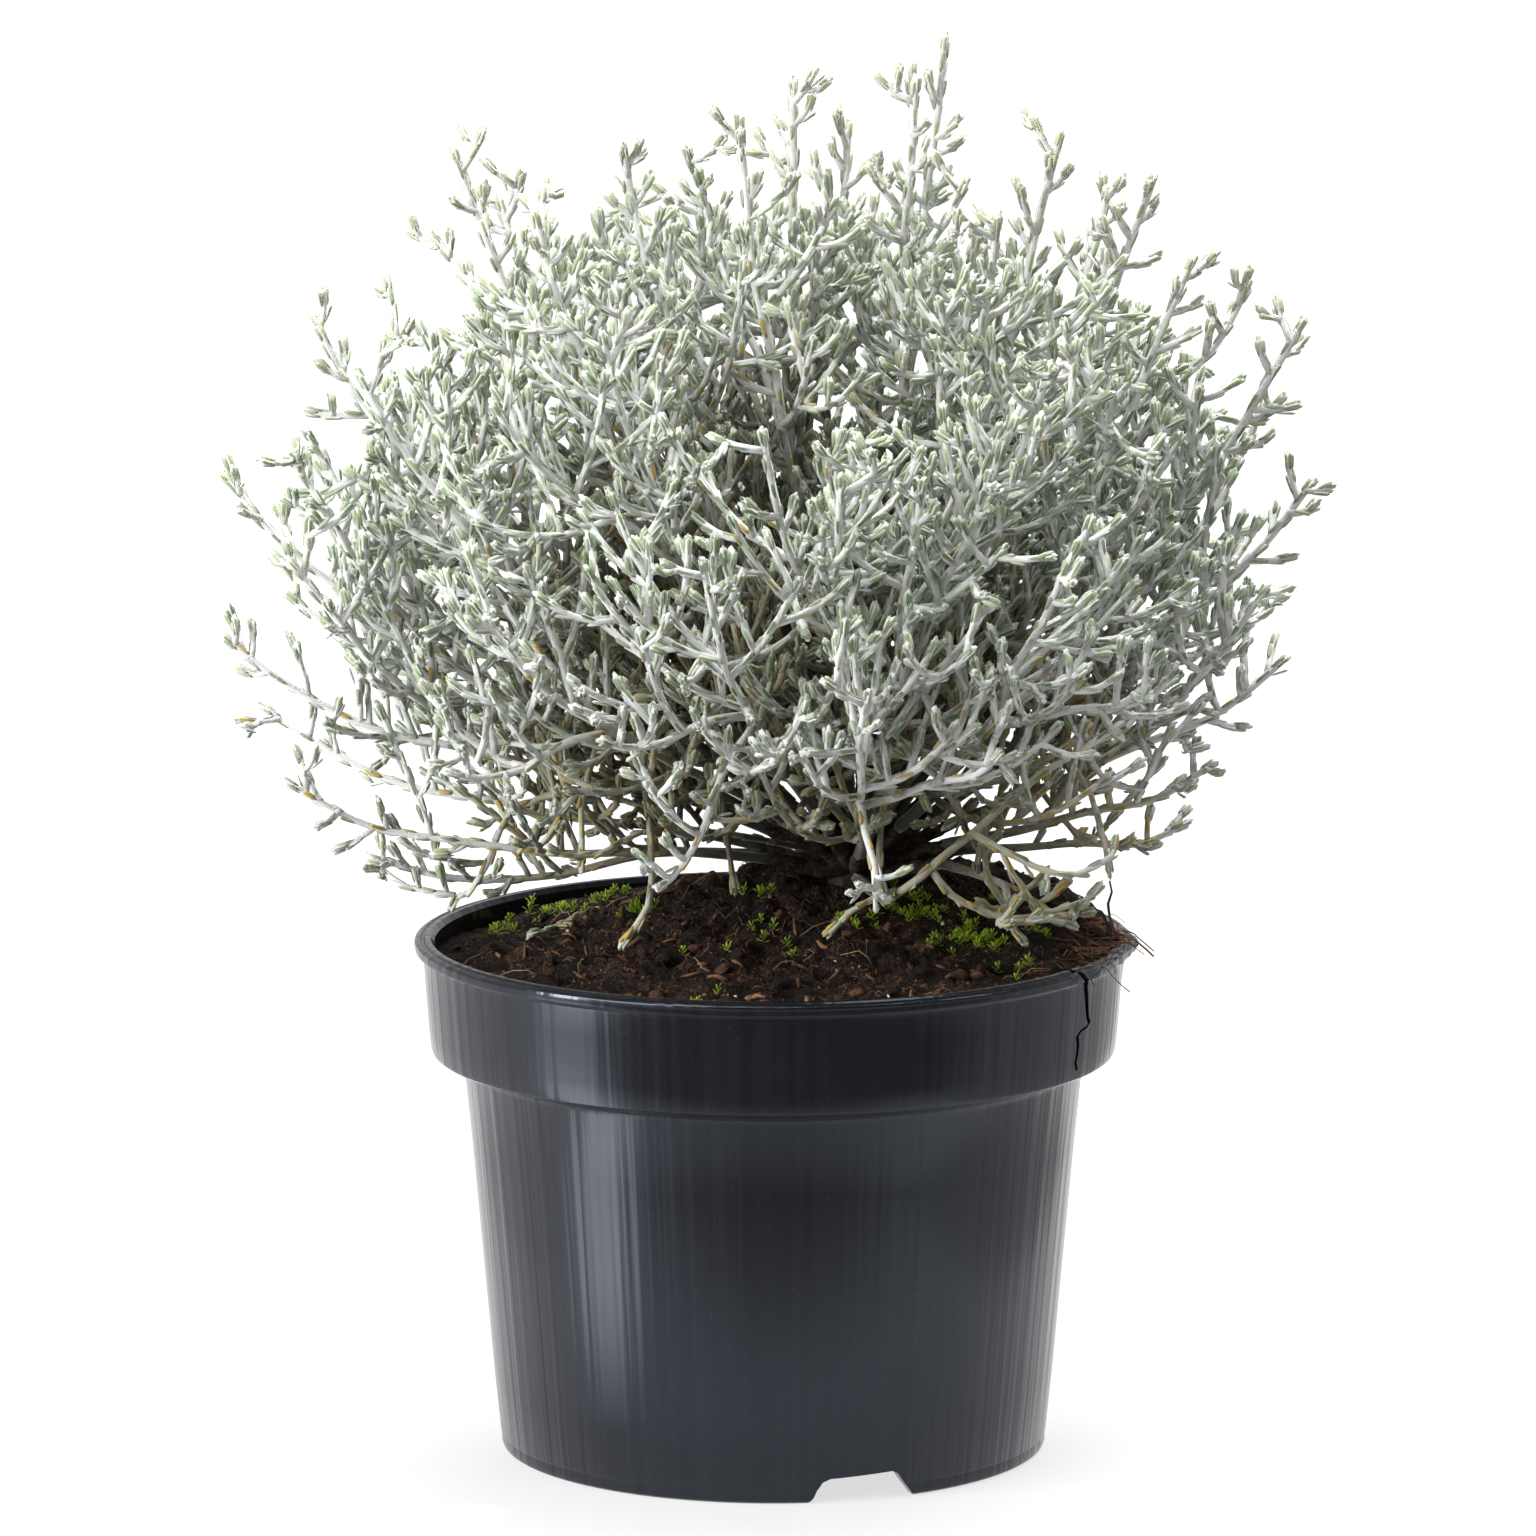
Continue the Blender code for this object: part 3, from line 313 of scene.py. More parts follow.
# Leaves and felted stems
LEAF_SPACING = 2.6 * MM
LEAF_SPACING_SPREAD = (0.8, 1.25)
LEAF_LENGTH = (4.4 * MM, 6.4 * MM)
LEAF_WIDTH = (1.45 * MM, 1.95 * MM)
LEAF_THICKNESS = 0.66 * MM
LEAF_THICKNESS_SPREAD = (0.85, 1.2)
LEAF_SINK = 0.27 * MM
LEAF_LIFT = (-0.5, 3.5)
LEAF_TURN_SPREAD = 0.25
LEAF_YOUTH = 0.6
FIRST_LEAF = (24.0 * MM, 4.0 * MM, 1.6 * MM)
LEAFLESS_TIP = 4.5 * MM
STRAY_SHARE = 0.04
STRAY_LIFT = (12.0, 30.0)
OLD_IS_SHORTER = 0.2
OLD_IS_SPARSER = 0.5
STEMS_ARE_SPARSER = 0.3

CLUB_LEAVES = 5
CLUB_LEAF_LENGTH = (4.4 * MM, 5.6 * MM)
CLUB_LEAF_WIDTH = (1.25 * MM, 1.6 * MM)
CLUB_LEAF_THICKNESS = 0.78 * MM
CLUB_RADIUS = 0.58 * MM
CLUB_FULLNESS = (0.9, 1.15)
CLUB_FLARE = (-1.0, 3.5)
CLUB_FLARE_SPREAD = 1.5
CLUB_STAGGER = 0.8
CLUB_HEART_RISE = 1.1
CLUB_AGE = 0.4

STUB_LENGTH = 8.0 * MM
RING_SIDES = 5
THREAD_SIDES = 3
FIRST_STEM_SEED = 100
LINE_STEP = 4.0 * MM
SHOOT_SHARES = (0.0, 0.35, 1.0)
FELT_RADII = {0: (2.0, 1.4, 1.05), 1: (1.4, 1.15, 1.0), 2: (1.1, 1.0, 0.92), 3: (0.98, 0.92, 0.86)}
FELT_TIP = 0.8
GIRTH_HEIGHTS = (162.0 * MM, 225.0 * MM)
GIRTHS = (0.80, 1.0)
STEM_MARKS = {"felt": 0.84, "tone": 0.45, "youth": 0.15, "wood": 1.0}
ACROSS_WAY = np.array((0.37, 0.61, 0.70))

# Age and youth: each BY pair is where a change starts and how far it takes, and the shares say
# how much each change counts
AGE_BY_CROWN = (28.0 * MM, 85.0 * MM)
AGE_BY_HEIGHT = (165.0 * MM, 95.0 * MM)
AGE_BY_DEPTH = (0.45, 0.4)
AGE_SHARES = (0.64, 0.24, 0.30)
AGE_PER_LEVEL = 0.05
AGE_SPREAD = 0.08
YOUTH_BY_HEIGHT = (270.0 * MM, 85.0 * MM)
YOUTH_BY_EDGE = (0.85, 0.3)
YOUTH_SHARES = (0.85, 0.5)

# The leaf pattern, about a unit long, before a leaf gives it its size
PATTERN_RADIUS = 0.5
PATTERN_BODY = 0.56
PATTERN_CORE = 0.1
PATTERN_FOOT = 0.72
PATTERN_FOOT_POINT = (0.0, 0.0, -0.26)
PATTERN_TIP_POINT = (0.0, 0.05, 0.17)
PATTERN_PLACE = (0.0, 0.25, 0.54)
PATTERN_RIDGE = 0.45
PATTERN_SPREAD = np.array((0.87, 0.75, 1.0))
FELT_ON_ENDS = 0.55

# Crown, finer than in the solids
CROWN_SEED = 7
STUB_SAG = (-1.2, 0.4)
STUB_STEP = 4.5 * MM
STUB_INSET = 2.0
STUB_OVERLAP = 1.5
STUB_SWELL = 1.35
STEM_FOOT_SWELL = 1.03
TRUNK_KNOTS = 8
TRUNK_DROP = 4.0
TRUNK_WAVE = (1.7, 0.8)
TRUNK_TAPER = (0.95, 0.9)
TRUNK_SIDES = 7
BARK_KNOTS = ((260.0, 0.9), (700.0, 0.35))
MERGE_DISTANCE = 1e-6

# Soil finer than in the solids: lumps and pits in mm, less of them towards the wall
CLOD_HEIGHT = 2.1
CRUMB_HEIGHT = 2.0
PIT_DEPTH = 4.2
SOIL_EASE = 9.0 * MM
SMOOTHEST_SOIL = 0.25
SOIL_MARGIN = 3.0 * MM

# Grains, each row a name, how many, their sizes and tones, a seed, how fine the pattern is and
# how flat they are
CRUMB_JITTER = 0.42
CRUMB_RISE = 0.15
SPIKE_HEIGHT = 1.3
GRAINS = (
    ("soil_clods", 90, (1.4 * MM, 3.0 * MM), (0.0, 0.6), 4, 2, (0.4, 0.8)),
    ("soil_crumbs", 600, (0.5 * MM, 1.3 * MM), (0.0, 0.7), 5, 1, (0.25, 0.9)),
    ("soil_grains", 3800, (0.25 * MM, 0.9 * MM), (0.0, 1.0), 15, 0, (0.3, 0.9)),
)
PERLITE_GRAINS = ("perlite_grains", 15, (0.35 * MM, 0.8 * MM), (0.3, 1.0), 6, 1, (0.5, 1.0))

# Threads, each row a name, how many, their lengths and radii, how high they rise, and a seed
FIBRE_KNOTS = 5
FIBRE_BEND = 0.8
FIBRE_SINK = 0.15 * MM
FIBRE_MARGIN = 1.0 * MM
PEAT_THREADS = ("peat_threads", 1250, (2.0 * MM, 7.0 * MM), (0.05 * MM, 0.12 * MM),
                (0.2 * MM, 1.3 * MM), 8)
PALE_ROOTS = ("pale_roots", 26, (10.0 * MM, 26.0 * MM), (0.08 * MM, 0.15 * MM),
              (0.8 * MM, 3.0 * MM), 9)
STRAW_SEED = 31
STRAW_COUNT = 70
STRAW_MARGIN = 9.0 * MM
STRAW_STEP = (1.2, 3.2)
STRAW_RISE = 0.5 * MM
STRAW_RADIUS = (0.3, 0.75)
STRAW_TAPER = (0.7, 1.0, 0.6)

# Fibres over the torn lip, with the one that stands up there
SPILLED_FIBRES = 70
SPILL_SEED = 12
SPILL_KNOTS = 6
SPILL_ANGLE = (-9.0, 12.0)
SPILL_RADIUS = (80.0, 93.0)
SPILL_LENGTH = (5.0, 14.0)
SPILL_THICKNESS = (0.12, 0.34)
SPILL_FAN = 1.1
SPILL_BEND = 0.5
SPILL_LIP = 88.0 * MM
SPILL_EDGE = 94.5 * MM
SPILL_FALL = 0.9
SPILL_RISE = 0.4 * MM
SPILL_LEAST_HEIGHT = SOIL_EDGE_HEIGHT + 3.0 * MM
STANDING_FIBRE = ((91.5, -9.0, 137.0), (89.6, -9.0, 140.5), (88.6, -9.0, 144.0),
                  (88.2, -9.0, 147.2), (89.2, -9.0, 150.4), (88.6, -9.0, 153.4))
STANDING_RADII = (0.6, 0.5, 0.42, 0.46, 0.36, 0.3)

# Moss, each patch a place, a spread and how many tufts
MOSS_SEED = 19
MOSS_LEAVES = 9
MOSS_SINK = 0.3 * MM
MOSS_HEIGHT = (0.6, 2.0)
MOSS_TONE = (0.15, 1.0)
MOSS_LIFT = (15.0, 35.0)
MOSS_SPREAD = 48.0
MOSS_TURN_SPREAD = 0.3
MOSS_LEAF_WIDTH = 0.55 * MM
MOSS_LEAF_THICKNESS = 0.25 * MM
MOSS_LEAF_LENGTH = (1.5, 2.6)
MOSS_PATCHES = (
    (-60.0, 48.0, 9.0, 15), (-46.0, 62.0, 6.0, 6), (-34.0, 9.0, 6.0, 18), (-72.0, 30.0, 5.0, 6),
    (36.0, -8.0, 11.0, 36), (53.0, -20.0, 8.0, 34), (70.0, -14.0, 4.0, 6), (44.0, -24.0, 8.0, 8),
    (-4.0, 2.0, 3.5, 6), (20.0, -22.0, 5.0, 5), (-40.0, 74.0, 6.0, 3), (60.0, 4.0, 6.0, 8),
    (-10.0, -34.0, 16.0, 8), (20.0, 62.0, 10.0, 20), (-15.0, -70.0, 10.0, 3),
    (62.0, -44.0, 5.0, 4),
)

# Colours, each as linear red, green and blue, some as a dark and a light one
CHARCOAL = ((0.0036, 0.0037, 0.0050), (0.0060, 0.0062, 0.0082))
POT_DUST = (0.036, 0.037, 0.042)
POT_SPECKS = (0.08, 0.08, 0.08)
DARK_PEAT = ((0.0012, 0.0009, 0.0007), (0.078, 0.038, 0.021))
RED_PEAT = ((0.125, 0.052, 0.025), (0.360, 0.190, 0.110))
LEAF_GREEN = ((0.105, 0.155, 0.075), (0.310, 0.370, 0.220))
FRESH_LEAF = (0.43, 0.450, 0.300)
PAINTED_SHADE_LEAF = (0.175, 0.200, 0.065)
WHITE_FELT = (0.550, 0.555, 0.540)
OCHRE_LEAF = ((0.39, 0.250, 0.060), (0.25, 0.25, 0.080))
GREY_STEM = ((0.255, 0.245, 0.235), (0.420, 0.415, 0.400))
PAINTED_LIGHT_STEM = (0.54, 0.54, 0.52)
WORN_AND_SHADED_STEM = (0.27, 0.235, 0.085)
WEATHERED_STEM = (0.100, 0.082, 0.066)
BARE_AND_SHADED_STEM = (0.050, 0.040, 0.031)
BUSH_SHADE = (0.050, 0.050, 0.028)
BARK = ((0.010, 0.007, 0.005), (0.080, 0.060, 0.044))
BARK_RIDGES = (0.15, 0.13, 0.105)
MOSS = ((0.018, 0.040, 0.003), (0.190, 0.300, 0.010))
MOSS_HIGHLIGHT = (0.36, 0.48, 0.028)
PERLITE = ((0.42, 0.41, 0.38), (0.75, 0.74, 0.70))
ROOT_THREAD = ((0.018, 0.009, 0.006), (0.29, 0.140, 0.068))
PALE_ROOT = ((0.16, 0.10, 0.06), (0.42, 0.30, 0.20))
STRAW = ((0.030, 0.014, 0.008), (0.21, 0.105, 0.045))
PAPER = ((0.165, 0.165, 0.165), (0.185, 0.185, 0.185))
PAINTED_SHADE_PAPER = (0.06, 0.06, 0.06)

# Where the bush's painted shade reaches: heights, distances from the middle, and the deep heart.
# Outside those distances, low down, painted light whitens the edge instead
SHADED_HEIGHTS = (185.0 * MM, 265.0 * MM)
SHADED_REACH = (70.0 * MM, 112.0 * MM)
DEEP_HEIGHT = 212.0 * MM
DEEP_REACH = (0.35, 0.82)

# Studio
CAMERA_DISTANCE = 3.0
CAMERA_HEIGHT = 0.7147
CAMERA_PITCH = math.radians(10.07)
CAMERA_SHIFT_LEFT = -0.0014
FOCAL_PIXELS = 11551.0
PHOTO_PIXELS = 1536.0
SENSOR_WIDTH = 36.0
FLOOR_SIZE = 30.0
FLOOR_DROP = 0.0002

# The floor glows more far behind the pot than near it. Within the reach it is painted dark in front
# of the pot and painted dimmer at its sides as shade, where that side shade starts at so many
# metres to the side for each metre from the camera's place.
FLOOR_GLOW = (0.70, 0.90)
FLOOR_FADE = (0.0, 1.6)
FLOOR_SHADE = (-0.30, -0.125)
SIDE_SHADE_START = (0.068, 0.080)
LEFT_SIDE_SHADE = 0.2
RIGHT_SIDE_SHADE = 0.5
SHADE_REACH = (0.85, 1.15)

# The pool of light on the floor to the pot's left: a wedge from a place beside the pot
POOL_PLACE = (-0.044, -0.07)
POOL_SIDES = ((-0.06, 0.24), (0.38, 0.80))
POOL_ENDS = ((0.02, 0.16), (0.12, 0.60))
POOL_GLOW = 3.9
FRONT_DIM = 0.06
BACK_BRIGHT = 0.75

# Lamps, each as a name, its place, what it faces, its size and its power
LIGHTS = (
    ("key_softbox", (-2.6, -2.3, 1.7), (0.0, 0.0, 0.2), (2.2, 2.2), 156.0),
    ("strip_left", (-1.15, -0.48, 0.40), (0.0, 0.0, 0.12), (0.16, 0.9), 14.0),
    ("top_softbox", (0.2, 0.5, 2.7), (0.0, 0.0, 0.2), (1.8, 1.8), 185.0),
    ("fill_softbox", (1.7, -1.6, 2.6), (0.0, 0.0, 0.2), (1.6, 1.6), 30.0),
)


def unit(vector):
    """The same direction with a length of one."""
    return vector / np.linalg.norm(vector)


def turned(first, second, angle):
    """The first direction turned by an angle towards the second."""
    return first * math.cos(angle) + second * math.sin(angle)


def share_of(value, start, span):
    """How far a value has come along a span, from nought to one."""
    return min(1.0, max(0.0, (value - start) / span))


def soil_height(x, y):
    """Height of the soil's surface: a level edge with smooth mounds and dips on it."""
    height = SOIL_EDGE_HEIGHT
    for centre_x, centre_y, spread_x, spread_y, rise in SOIL_MOUNDS:
        across = (x - centre_x * MM) / (spread_x * MM)
        along = (y - centre_y * MM) / (spread_y * MM)
        height += rise * MM * math.exp(-0.5 * (across * across + along * along))
    return height


# Shader sums

class Wire:
    """A shader value that takes part in Python sums, each sum a Math node."""

    def __init__(self, finish, socket):
        self.finish = finish
        self.socket = socket

    def math(self, operation, *others):
        """One Math node on this value and the others."""
        return self.finish.node("ShaderNodeMath", {"operation": operation},
                                dict(enumerate((self,) + others)))

    def __add__(self, other):
        return self.math("ADD", other)

    def __sub__(self, other):
        return self.math("SUBTRACT", other)

    def __mul__(self, other):
        return self.math("MULTIPLY", other)

    def __truediv__(self, other):
        return self.math("DIVIDE", other)

    def __rsub__(self, other):
        return self.finish.node("ShaderNodeMath", {"operation": "SUBTRACT"}, {0: other, 1: self})

    __radd__ = __add__
    __rmul__ = __mul__

    def between(self, low, high):
        """Nought below the low value, one above the high value and smooth between them."""
        return self.finish.node(
            "ShaderNodeMapRange", {"interpolation_type": "SMOOTHSTEP"},
            {"Value": self, "From Min": low, "From Max": high})


def socket_name(word):
    """A Principled socket's own name from the word for it in a call."""
    return word.replace("_", " ").title().replace("Ior", "IOR")


class Finish:
    """One material: a Principled surface and the nodes that feed it."""

    def __init__(self, name, **surface):
        self.material = bpy.data.materials.new(name)
        self.material.use_nodes = True
        self.tree = self.material.node_tree
        self.surface = self.tree.nodes["Principled BSDF"]
        for word, value in surface.items():
            self.surface.inputs[socket_name(word)].default_value = value

    def node(self, kind, settings=None, inputs=None, output=0):
        """Add a node with its settings first, then its sockets' values or links."""
        made = self.tree.nodes.new(kind)
        for name, value in (settings or {}).items():
            setattr(made, name, value)
        for socket, value in (inputs or {}).items():
            self.feed(made.inputs[socket], value)
        return Wire(self, made.outputs[output])

    def feed(self, socket, value):
        """Link a shader value to a socket, or set a plain number or colour on it."""
        if isinstance(value, Wire):
            self.tree.links.new(value.socket, socket)
        elif socket.type == "RGBA" and len(value) == 3:
            socket.default_value = (*value, 1.0)
        else:
            socket.default_value = value

    def place(self):
        """The place on the piece, in metres."""
        return self.node("ShaderNodeTexCoord", output="Object")

    def attribute(self, name):
        """A mark that each point of the mesh carries."""
        return self.node("ShaderNodeAttribute", {"attribute_name": name}, output="Fac")

    def axes(self):
        """The place's three coordinates."""
        parts = self.node("ShaderNodeSeparateXYZ", {}, {"Vector": self.place()})
        return [Wire(self, output) for output in parts.socket.node.outputs]

    def noise(self, vector, scale, detail=3.0, roughness=0.5, distortion=0.0):
        return self.node("ShaderNodeTexNoise", {},
                         {"Vector": vector, "Scale": scale, "Detail": detail,
                          "Roughness": roughness, "Distortion": distortion})

    def threads(self, vector, scale, width):
        """One along the thin wandering lines where a twisted noise crosses its middle."""
        wander = self.noise(vector, scale, 2.0, 0.5, 1.6)
        return 1.0 - (wander - 0.5).math("ABSOLUTE").between(0.0, width)

    def mix(self, factor, first, second):
        """A colour between two others."""
        return self.node("ShaderNodeMix", {"data_type": "RGBA"},
                         {0: factor, 6: first, 7: second}, output=2)

    def bump(self, height, distance, strength):
        """A normal bent by a height pattern of a real depth in metres."""
        return self.node("ShaderNodeBump", {},
                         {"Height": height, "Distance": distance, "Strength": strength})

    def paint(self, **sockets):
        """Feed the surface's own sockets and hand over the material."""
        for word, value in sockets.items():
            self.feed(self.surface.inputs[socket_name(word)], value)
        return self.material


# Materials

def pot_plastic():
    """Satin charcoal plastic with faint upright draw marks and a dusty bloom."""
    finish = Finish("pot_plastic", specular_ior_level=0.5, specular_tint=(0.76, 0.84, 1.0, 1.0))
    place = finish.place()
    x, y, z = finish.axes()
    reach = (x * x + y * y).math("SQRT").math("MAXIMUM", 0.001)
    around = finish.node("ShaderNodeCombineXYZ", {},
                         {"X": x / reach, "Y": y / reach, "Z": z * 0.25})
    broad = finish.noise(around, 22.0, 1.0)
    fine = finish.noise(around, 60.0, 1.0)
    dust = finish.noise(place, 60.0, 5.0, 0.65)
    specks = finish.noise(place, 900.0, 1.0).between(0.68, 0.78)
    charcoal = finish.mix(broad.between(0.3, 0.7), *CHARCOAL)
    dusty = finish.mix(dust.between(0.55, 0.9) * 0.1, charcoal, POT_DUST)
    colour = finish.mix(specks * 0.1, dusty, POT_SPECKS)
    height = broad * 0.85 + fine * 0.15
    return finish.paint(base_color=colour, roughness=0.12 + fine * 0.10 + dust * 0.05,
                        normal=finish.bump(height, 0.0009, 0.42))


def peat():
    """Damp dark peat: red-brown fibres over nearly black crumbs."""
    finish = Finish("peat_soil", specular_ior_level=0.22)
    place = finish.place()
    clods = finish.noise(place, 110.0, 5.0, 0.7)
    crumbs = finish.noise(place, 900.0, 3.0, 0.8)
    fine = finish.threads(place, 640.0, 0.03)
    coarse = finish.threads(place, 300.0, 0.014)
    rust = finish.noise(place, 130.0, 3.0, 0.6).between(0.42, 0.66)
    loose = finish.noise(place, 85.0, 4.0, 0.7).between(0.44, 0.60)
    tone = finish.attribute("tone")
    grain = (crumbs + tone * 0.25).between(0.46, 0.66)
    dark = finish.mix(grain * (0.30 + loose * 0.70), *DARK_PEAT)
    red = finish.mix(tone, *RED_PEAT)
    lined = (fine * 0.75).math("MAXIMUM", coarse) * (0.2 + rust * 0.8)
    strewn = lined.math("MAXIMUM", tone * tone * 0.8) * (0.30 + loose * 0.70)
    colour = finish.mix(strewn, dark, red)
    return finish.paint(base_color=colour, roughness=0.78 + clods * 0.2,
                        normal=finish.bump(crumbs + clods * 0.6 + lined * 0.3, 0.0018, 1.0))


def toned(name, dark, light):
    """A rough natural finish between two colours, picked for each bit by its own tone."""
    finish = Finish(name, specular_ior_level=0.3)
    grain = finish.noise(finish.place(), 900.0, 3.0, 0.6)
    share = finish.attribute("tone") * 0.75 + grain * 0.5 - 0.12
    colour = finish.mix(share.between(0.0, 1.0), dark, light)
    return finish.paint(base_color=colour, roughness=0.85,
                        normal=finish.bump(grain, 0.0002, 0.7))


def bush_shade(finish):
    """Masks for painted shade where the bush is deep and where it is shaded, and for painted light
    low at its edge.
    """
    x, y, z = finish.axes()
    wide = (((x - BALL_CENTRE[0]) / BALL_REACH[0]).math("POWER", 2.0)
            + ((y - BALL_CENTRE[1]) / BALL_REACH[1]).math("POWER", 2.0)
            + ((z - DEEP_HEIGHT) / BALL_REACH[2]).math("POWER", 2.0)).math("SQRT")
    deep = 1.0 - wide.between(*DEEP_REACH)
    low = 1.0 - z.between(*SHADED_HEIGHTS)
    outer = (x * x + y * y).math("SQRT").between(*SHADED_REACH)
    shaded = deep.math("MAXIMUM", low * (1.0 - outer) * 0.75)
    return deep, shaded, low * outer


def silver_leaf():
    """Grey-green leaves edged with white felt, yellower when young and ochre when old, darkened by
    painted shade inside and low in the bush and lightened by painted light low at its edge.
    """
    finish = Finish("silver_leaf", specular_ior_level=0.2, sheen_weight=0.25,
                    sheen_roughness=0.5)
    place = finish.place()
    felt, age, tone, youth, wood = [finish.attribute(kind) for kind in
                                    ("felt", "age", "tone", "youth", "wood")]
    deep, shaded, painted_low_light = bush_shade(finish)
    fuzz = finish.noise(place, 1400.0, 3.0, 0.65)
    patch = finish.noise(place, 230.0, 2.0, 0.6)
    green = finish.mix(tone.between(0.0, 1.0), *LEAF_GREEN)
    fresh = finish.mix(youth * (0.50 + tone * 0.45), green, FRESH_LEAF)
    # Painted shade: where the bush is shaded its leaves turn dark olive, less white and sooner
    # ochre
    painted_shade_green = finish.mix(shaded * 0.45, fresh, PAINTED_SHADE_LEAF)
    margin = felt.between(0.45, 0.92)
    # Painted light whitens the leaves low at the bush's edge
    whiteness = (margin * 0.60 + fuzz * 0.55 + patch.between(0.35, 0.65) * 0.30
                 + painted_low_light * 0.22 - shaded * 0.13 - 0.44)
    silver = finish.mix(whiteness.between(0.0, 0.62), painted_shade_green, WHITE_FELT)
    old = (age * 1.6 + tone * 1.2 + shaded * 0.10 - 1.17).between(0.0, 0.15)
    ochre = finish.mix(patch.between(0.35, 0.7), *OCHRE_LEAF)
    leaf = finish.mix(old * (1.0 - margin * 0.6), silver, ochre)
    stem = felted_stem(finish, age, shaded, painted_low_light, fuzz, patch)
    dressed = finish.mix(wood * (age * 2.0 - 0.80).between(0.0, 1.0), leaf, stem)
    colour = finish.mix(deep * 0.62, dressed, BUSH_SHADE)
    return finish.paint(base_color=colour, roughness=0.74 + fuzz * 0.2,
                        normal=finish.bump(fuzz + felt * 0.3, 0.00022, 0.8))


def felted_stem(finish, age, shaded, painted_low_light, fuzz, patch):
    """Grey felt on the stems with ochre wear streaks, lightened by painted light low at the bush's
    edge, tinted ochre by painted shade, and bare bark painted dark as shade where they are oldest.
    """
    grey = finish.mix(patch.between(0.35, 0.65), *GREY_STEM)
    streak = finish.noise(finish.place(), 90.0, 2.0).between(0.50, 0.62)
    # Painted light: stems low at the bush's edge are lightened
    pale = finish.mix(painted_low_light * 0.65, grey, PAINTED_LIGHT_STEM)
    # Painted shade tints shaded stems towards the ochre of the wear streaks
    worn_and_shaded = finish.mix(streak * (0.45 - painted_low_light * 0.2) + shaded * 0.40, pale, WORN_AND_SHADED_STEM)
    weathered = finish.mix(fuzz.between(0.35, 0.75) * age, worn_and_shaded, WEATHERED_STEM)
    # Bare bark on the oldest stems, painted dark as shade as well as bark
    return finish.mix(age.between(0.72, 1.0), weathered, BARE_AND_SHADED_STEM)


def bark():
    """Dark, fissured bark with grey weathered ridges."""
    finish = Finish("crown_bark", specular_ior_level=0.2)
    place = finish.place()
    fissures = finish.noise(place, 330.0, 5.0, 0.75)
    patch = finish.noise(place, 90.0, 3.0)
    dark = finish.mix(fissures.between(0.38, 0.66), *BARK)
    colour = finish.mix(patch.between(0.5, 0.75) * 0.4, dark, BARK_RIDGES)
    return finish.paint(base_color=colour, roughness=0.9,
                        normal=finish.bump(fissures, 0.0011, 0.9))


def moss_green():
    """Bright yellow-green moss, with painted highlights on the leaf edges and painted shade that
    darkens the lower leaves inside the tufts.
    """
    finish = Finish("moss", specular_ior_level=0.3, subsurface_weight=0.15,
                    subsurface_radius=(0.0006, 0.0010, 0.0003))
    tone = finish.attribute("tone")
    felt = finish.attribute("felt")
    deep = finish.mix(tone.between(0.0, 1.0), *MOSS)
    # Painted highlight: the leaf edges are lighter
    colour = finish.mix(felt * 0.5, deep, MOSS_HIGHLIGHT)
    return finish.paint(base_color=colour, roughness=0.55)


# Growth of the bush, draw for draw as in the solids, then filled in

class Thicket:
    """The shoots grown so far, as round-ended rods that later ones keep clear of."""

    def __init__(self, room=ROD_ROOM):
        self.count = 0
        self.starts = np.zeros((room, 3))
        self.ends = np.zeros((room, 3))
        self.radii = np.zeros(room)
        self.owners = np.zeros(room, dtype=int)
        self.clearance = CLEARANCE

    def add(self, shoot):
        """Put a shoot's rods among those that later ones keep clear of."""
        for number in range(len(shoot.points) - 1):
            row = self.count
            self.starts[row] = shoot.points[number]
            self.ends[row] = shoot.points[number + 1]
            self.radii[row] = max(shoot.radii[number], shoot.radii[number + 1])
            self.owners[row] = shoot.number
            self.count += 1

    def is_clear(self, points, radii, parent):
        """True where the rods along the points stay clear of all but their parent."""
        low = points.min(axis=0) - SEARCH_MARGIN
        high = points.max(axis=0) + SEARCH_MARGIN
        starts = self.starts[:self.count]
        ends = self.ends[:self.count]
        near = self.owners[:self.count] != parent
        near &= np.all(np.maximum(starts, ends) > low, axis=1)
        near &= np.all(np.minimum(starts, ends) < high, axis=1)
        rows = np.flatnonzero(near)
        if not len(rows):
            return True
        for number in range(len(points) - 1):
            radius = max(radii[number], radii[number + 1])
            gaps = rod_gaps(points[number], points[number + 1], starts[rows], ends[rows])
            if np.any(gaps < self.radii[rows] + radius + self.clearance):
                return False
        return True


def rod_gaps(start, end, starts, ends):
    """Shortest distances from one straight rod to many."""
    along = end - start
    others = ends - starts
    offset = start - starts
    length = along @ along
    cross = others @ along
    other_length = np.maximum((others * others).sum(axis=1), 1e-18)
    start_dot = offset @ along
    other_dot = (others * offset).sum(axis=1)
    spread = np.maximum(length * other_length - cross * cross, 1e-18)
    here = np.clip((cross * other_dot - other_length * start_dot) / spread, 0.0, 1.0)
    there = np.clip((cross * here + other_dot) / other_length, 0.0, 1.0)
    here = np.clip((there * cross - start_dot) / length, 0.0, 1.0)
    between = offset + here[:, None] * along - there[:, None] * others
    return np.linalg.norm(between, axis=1)


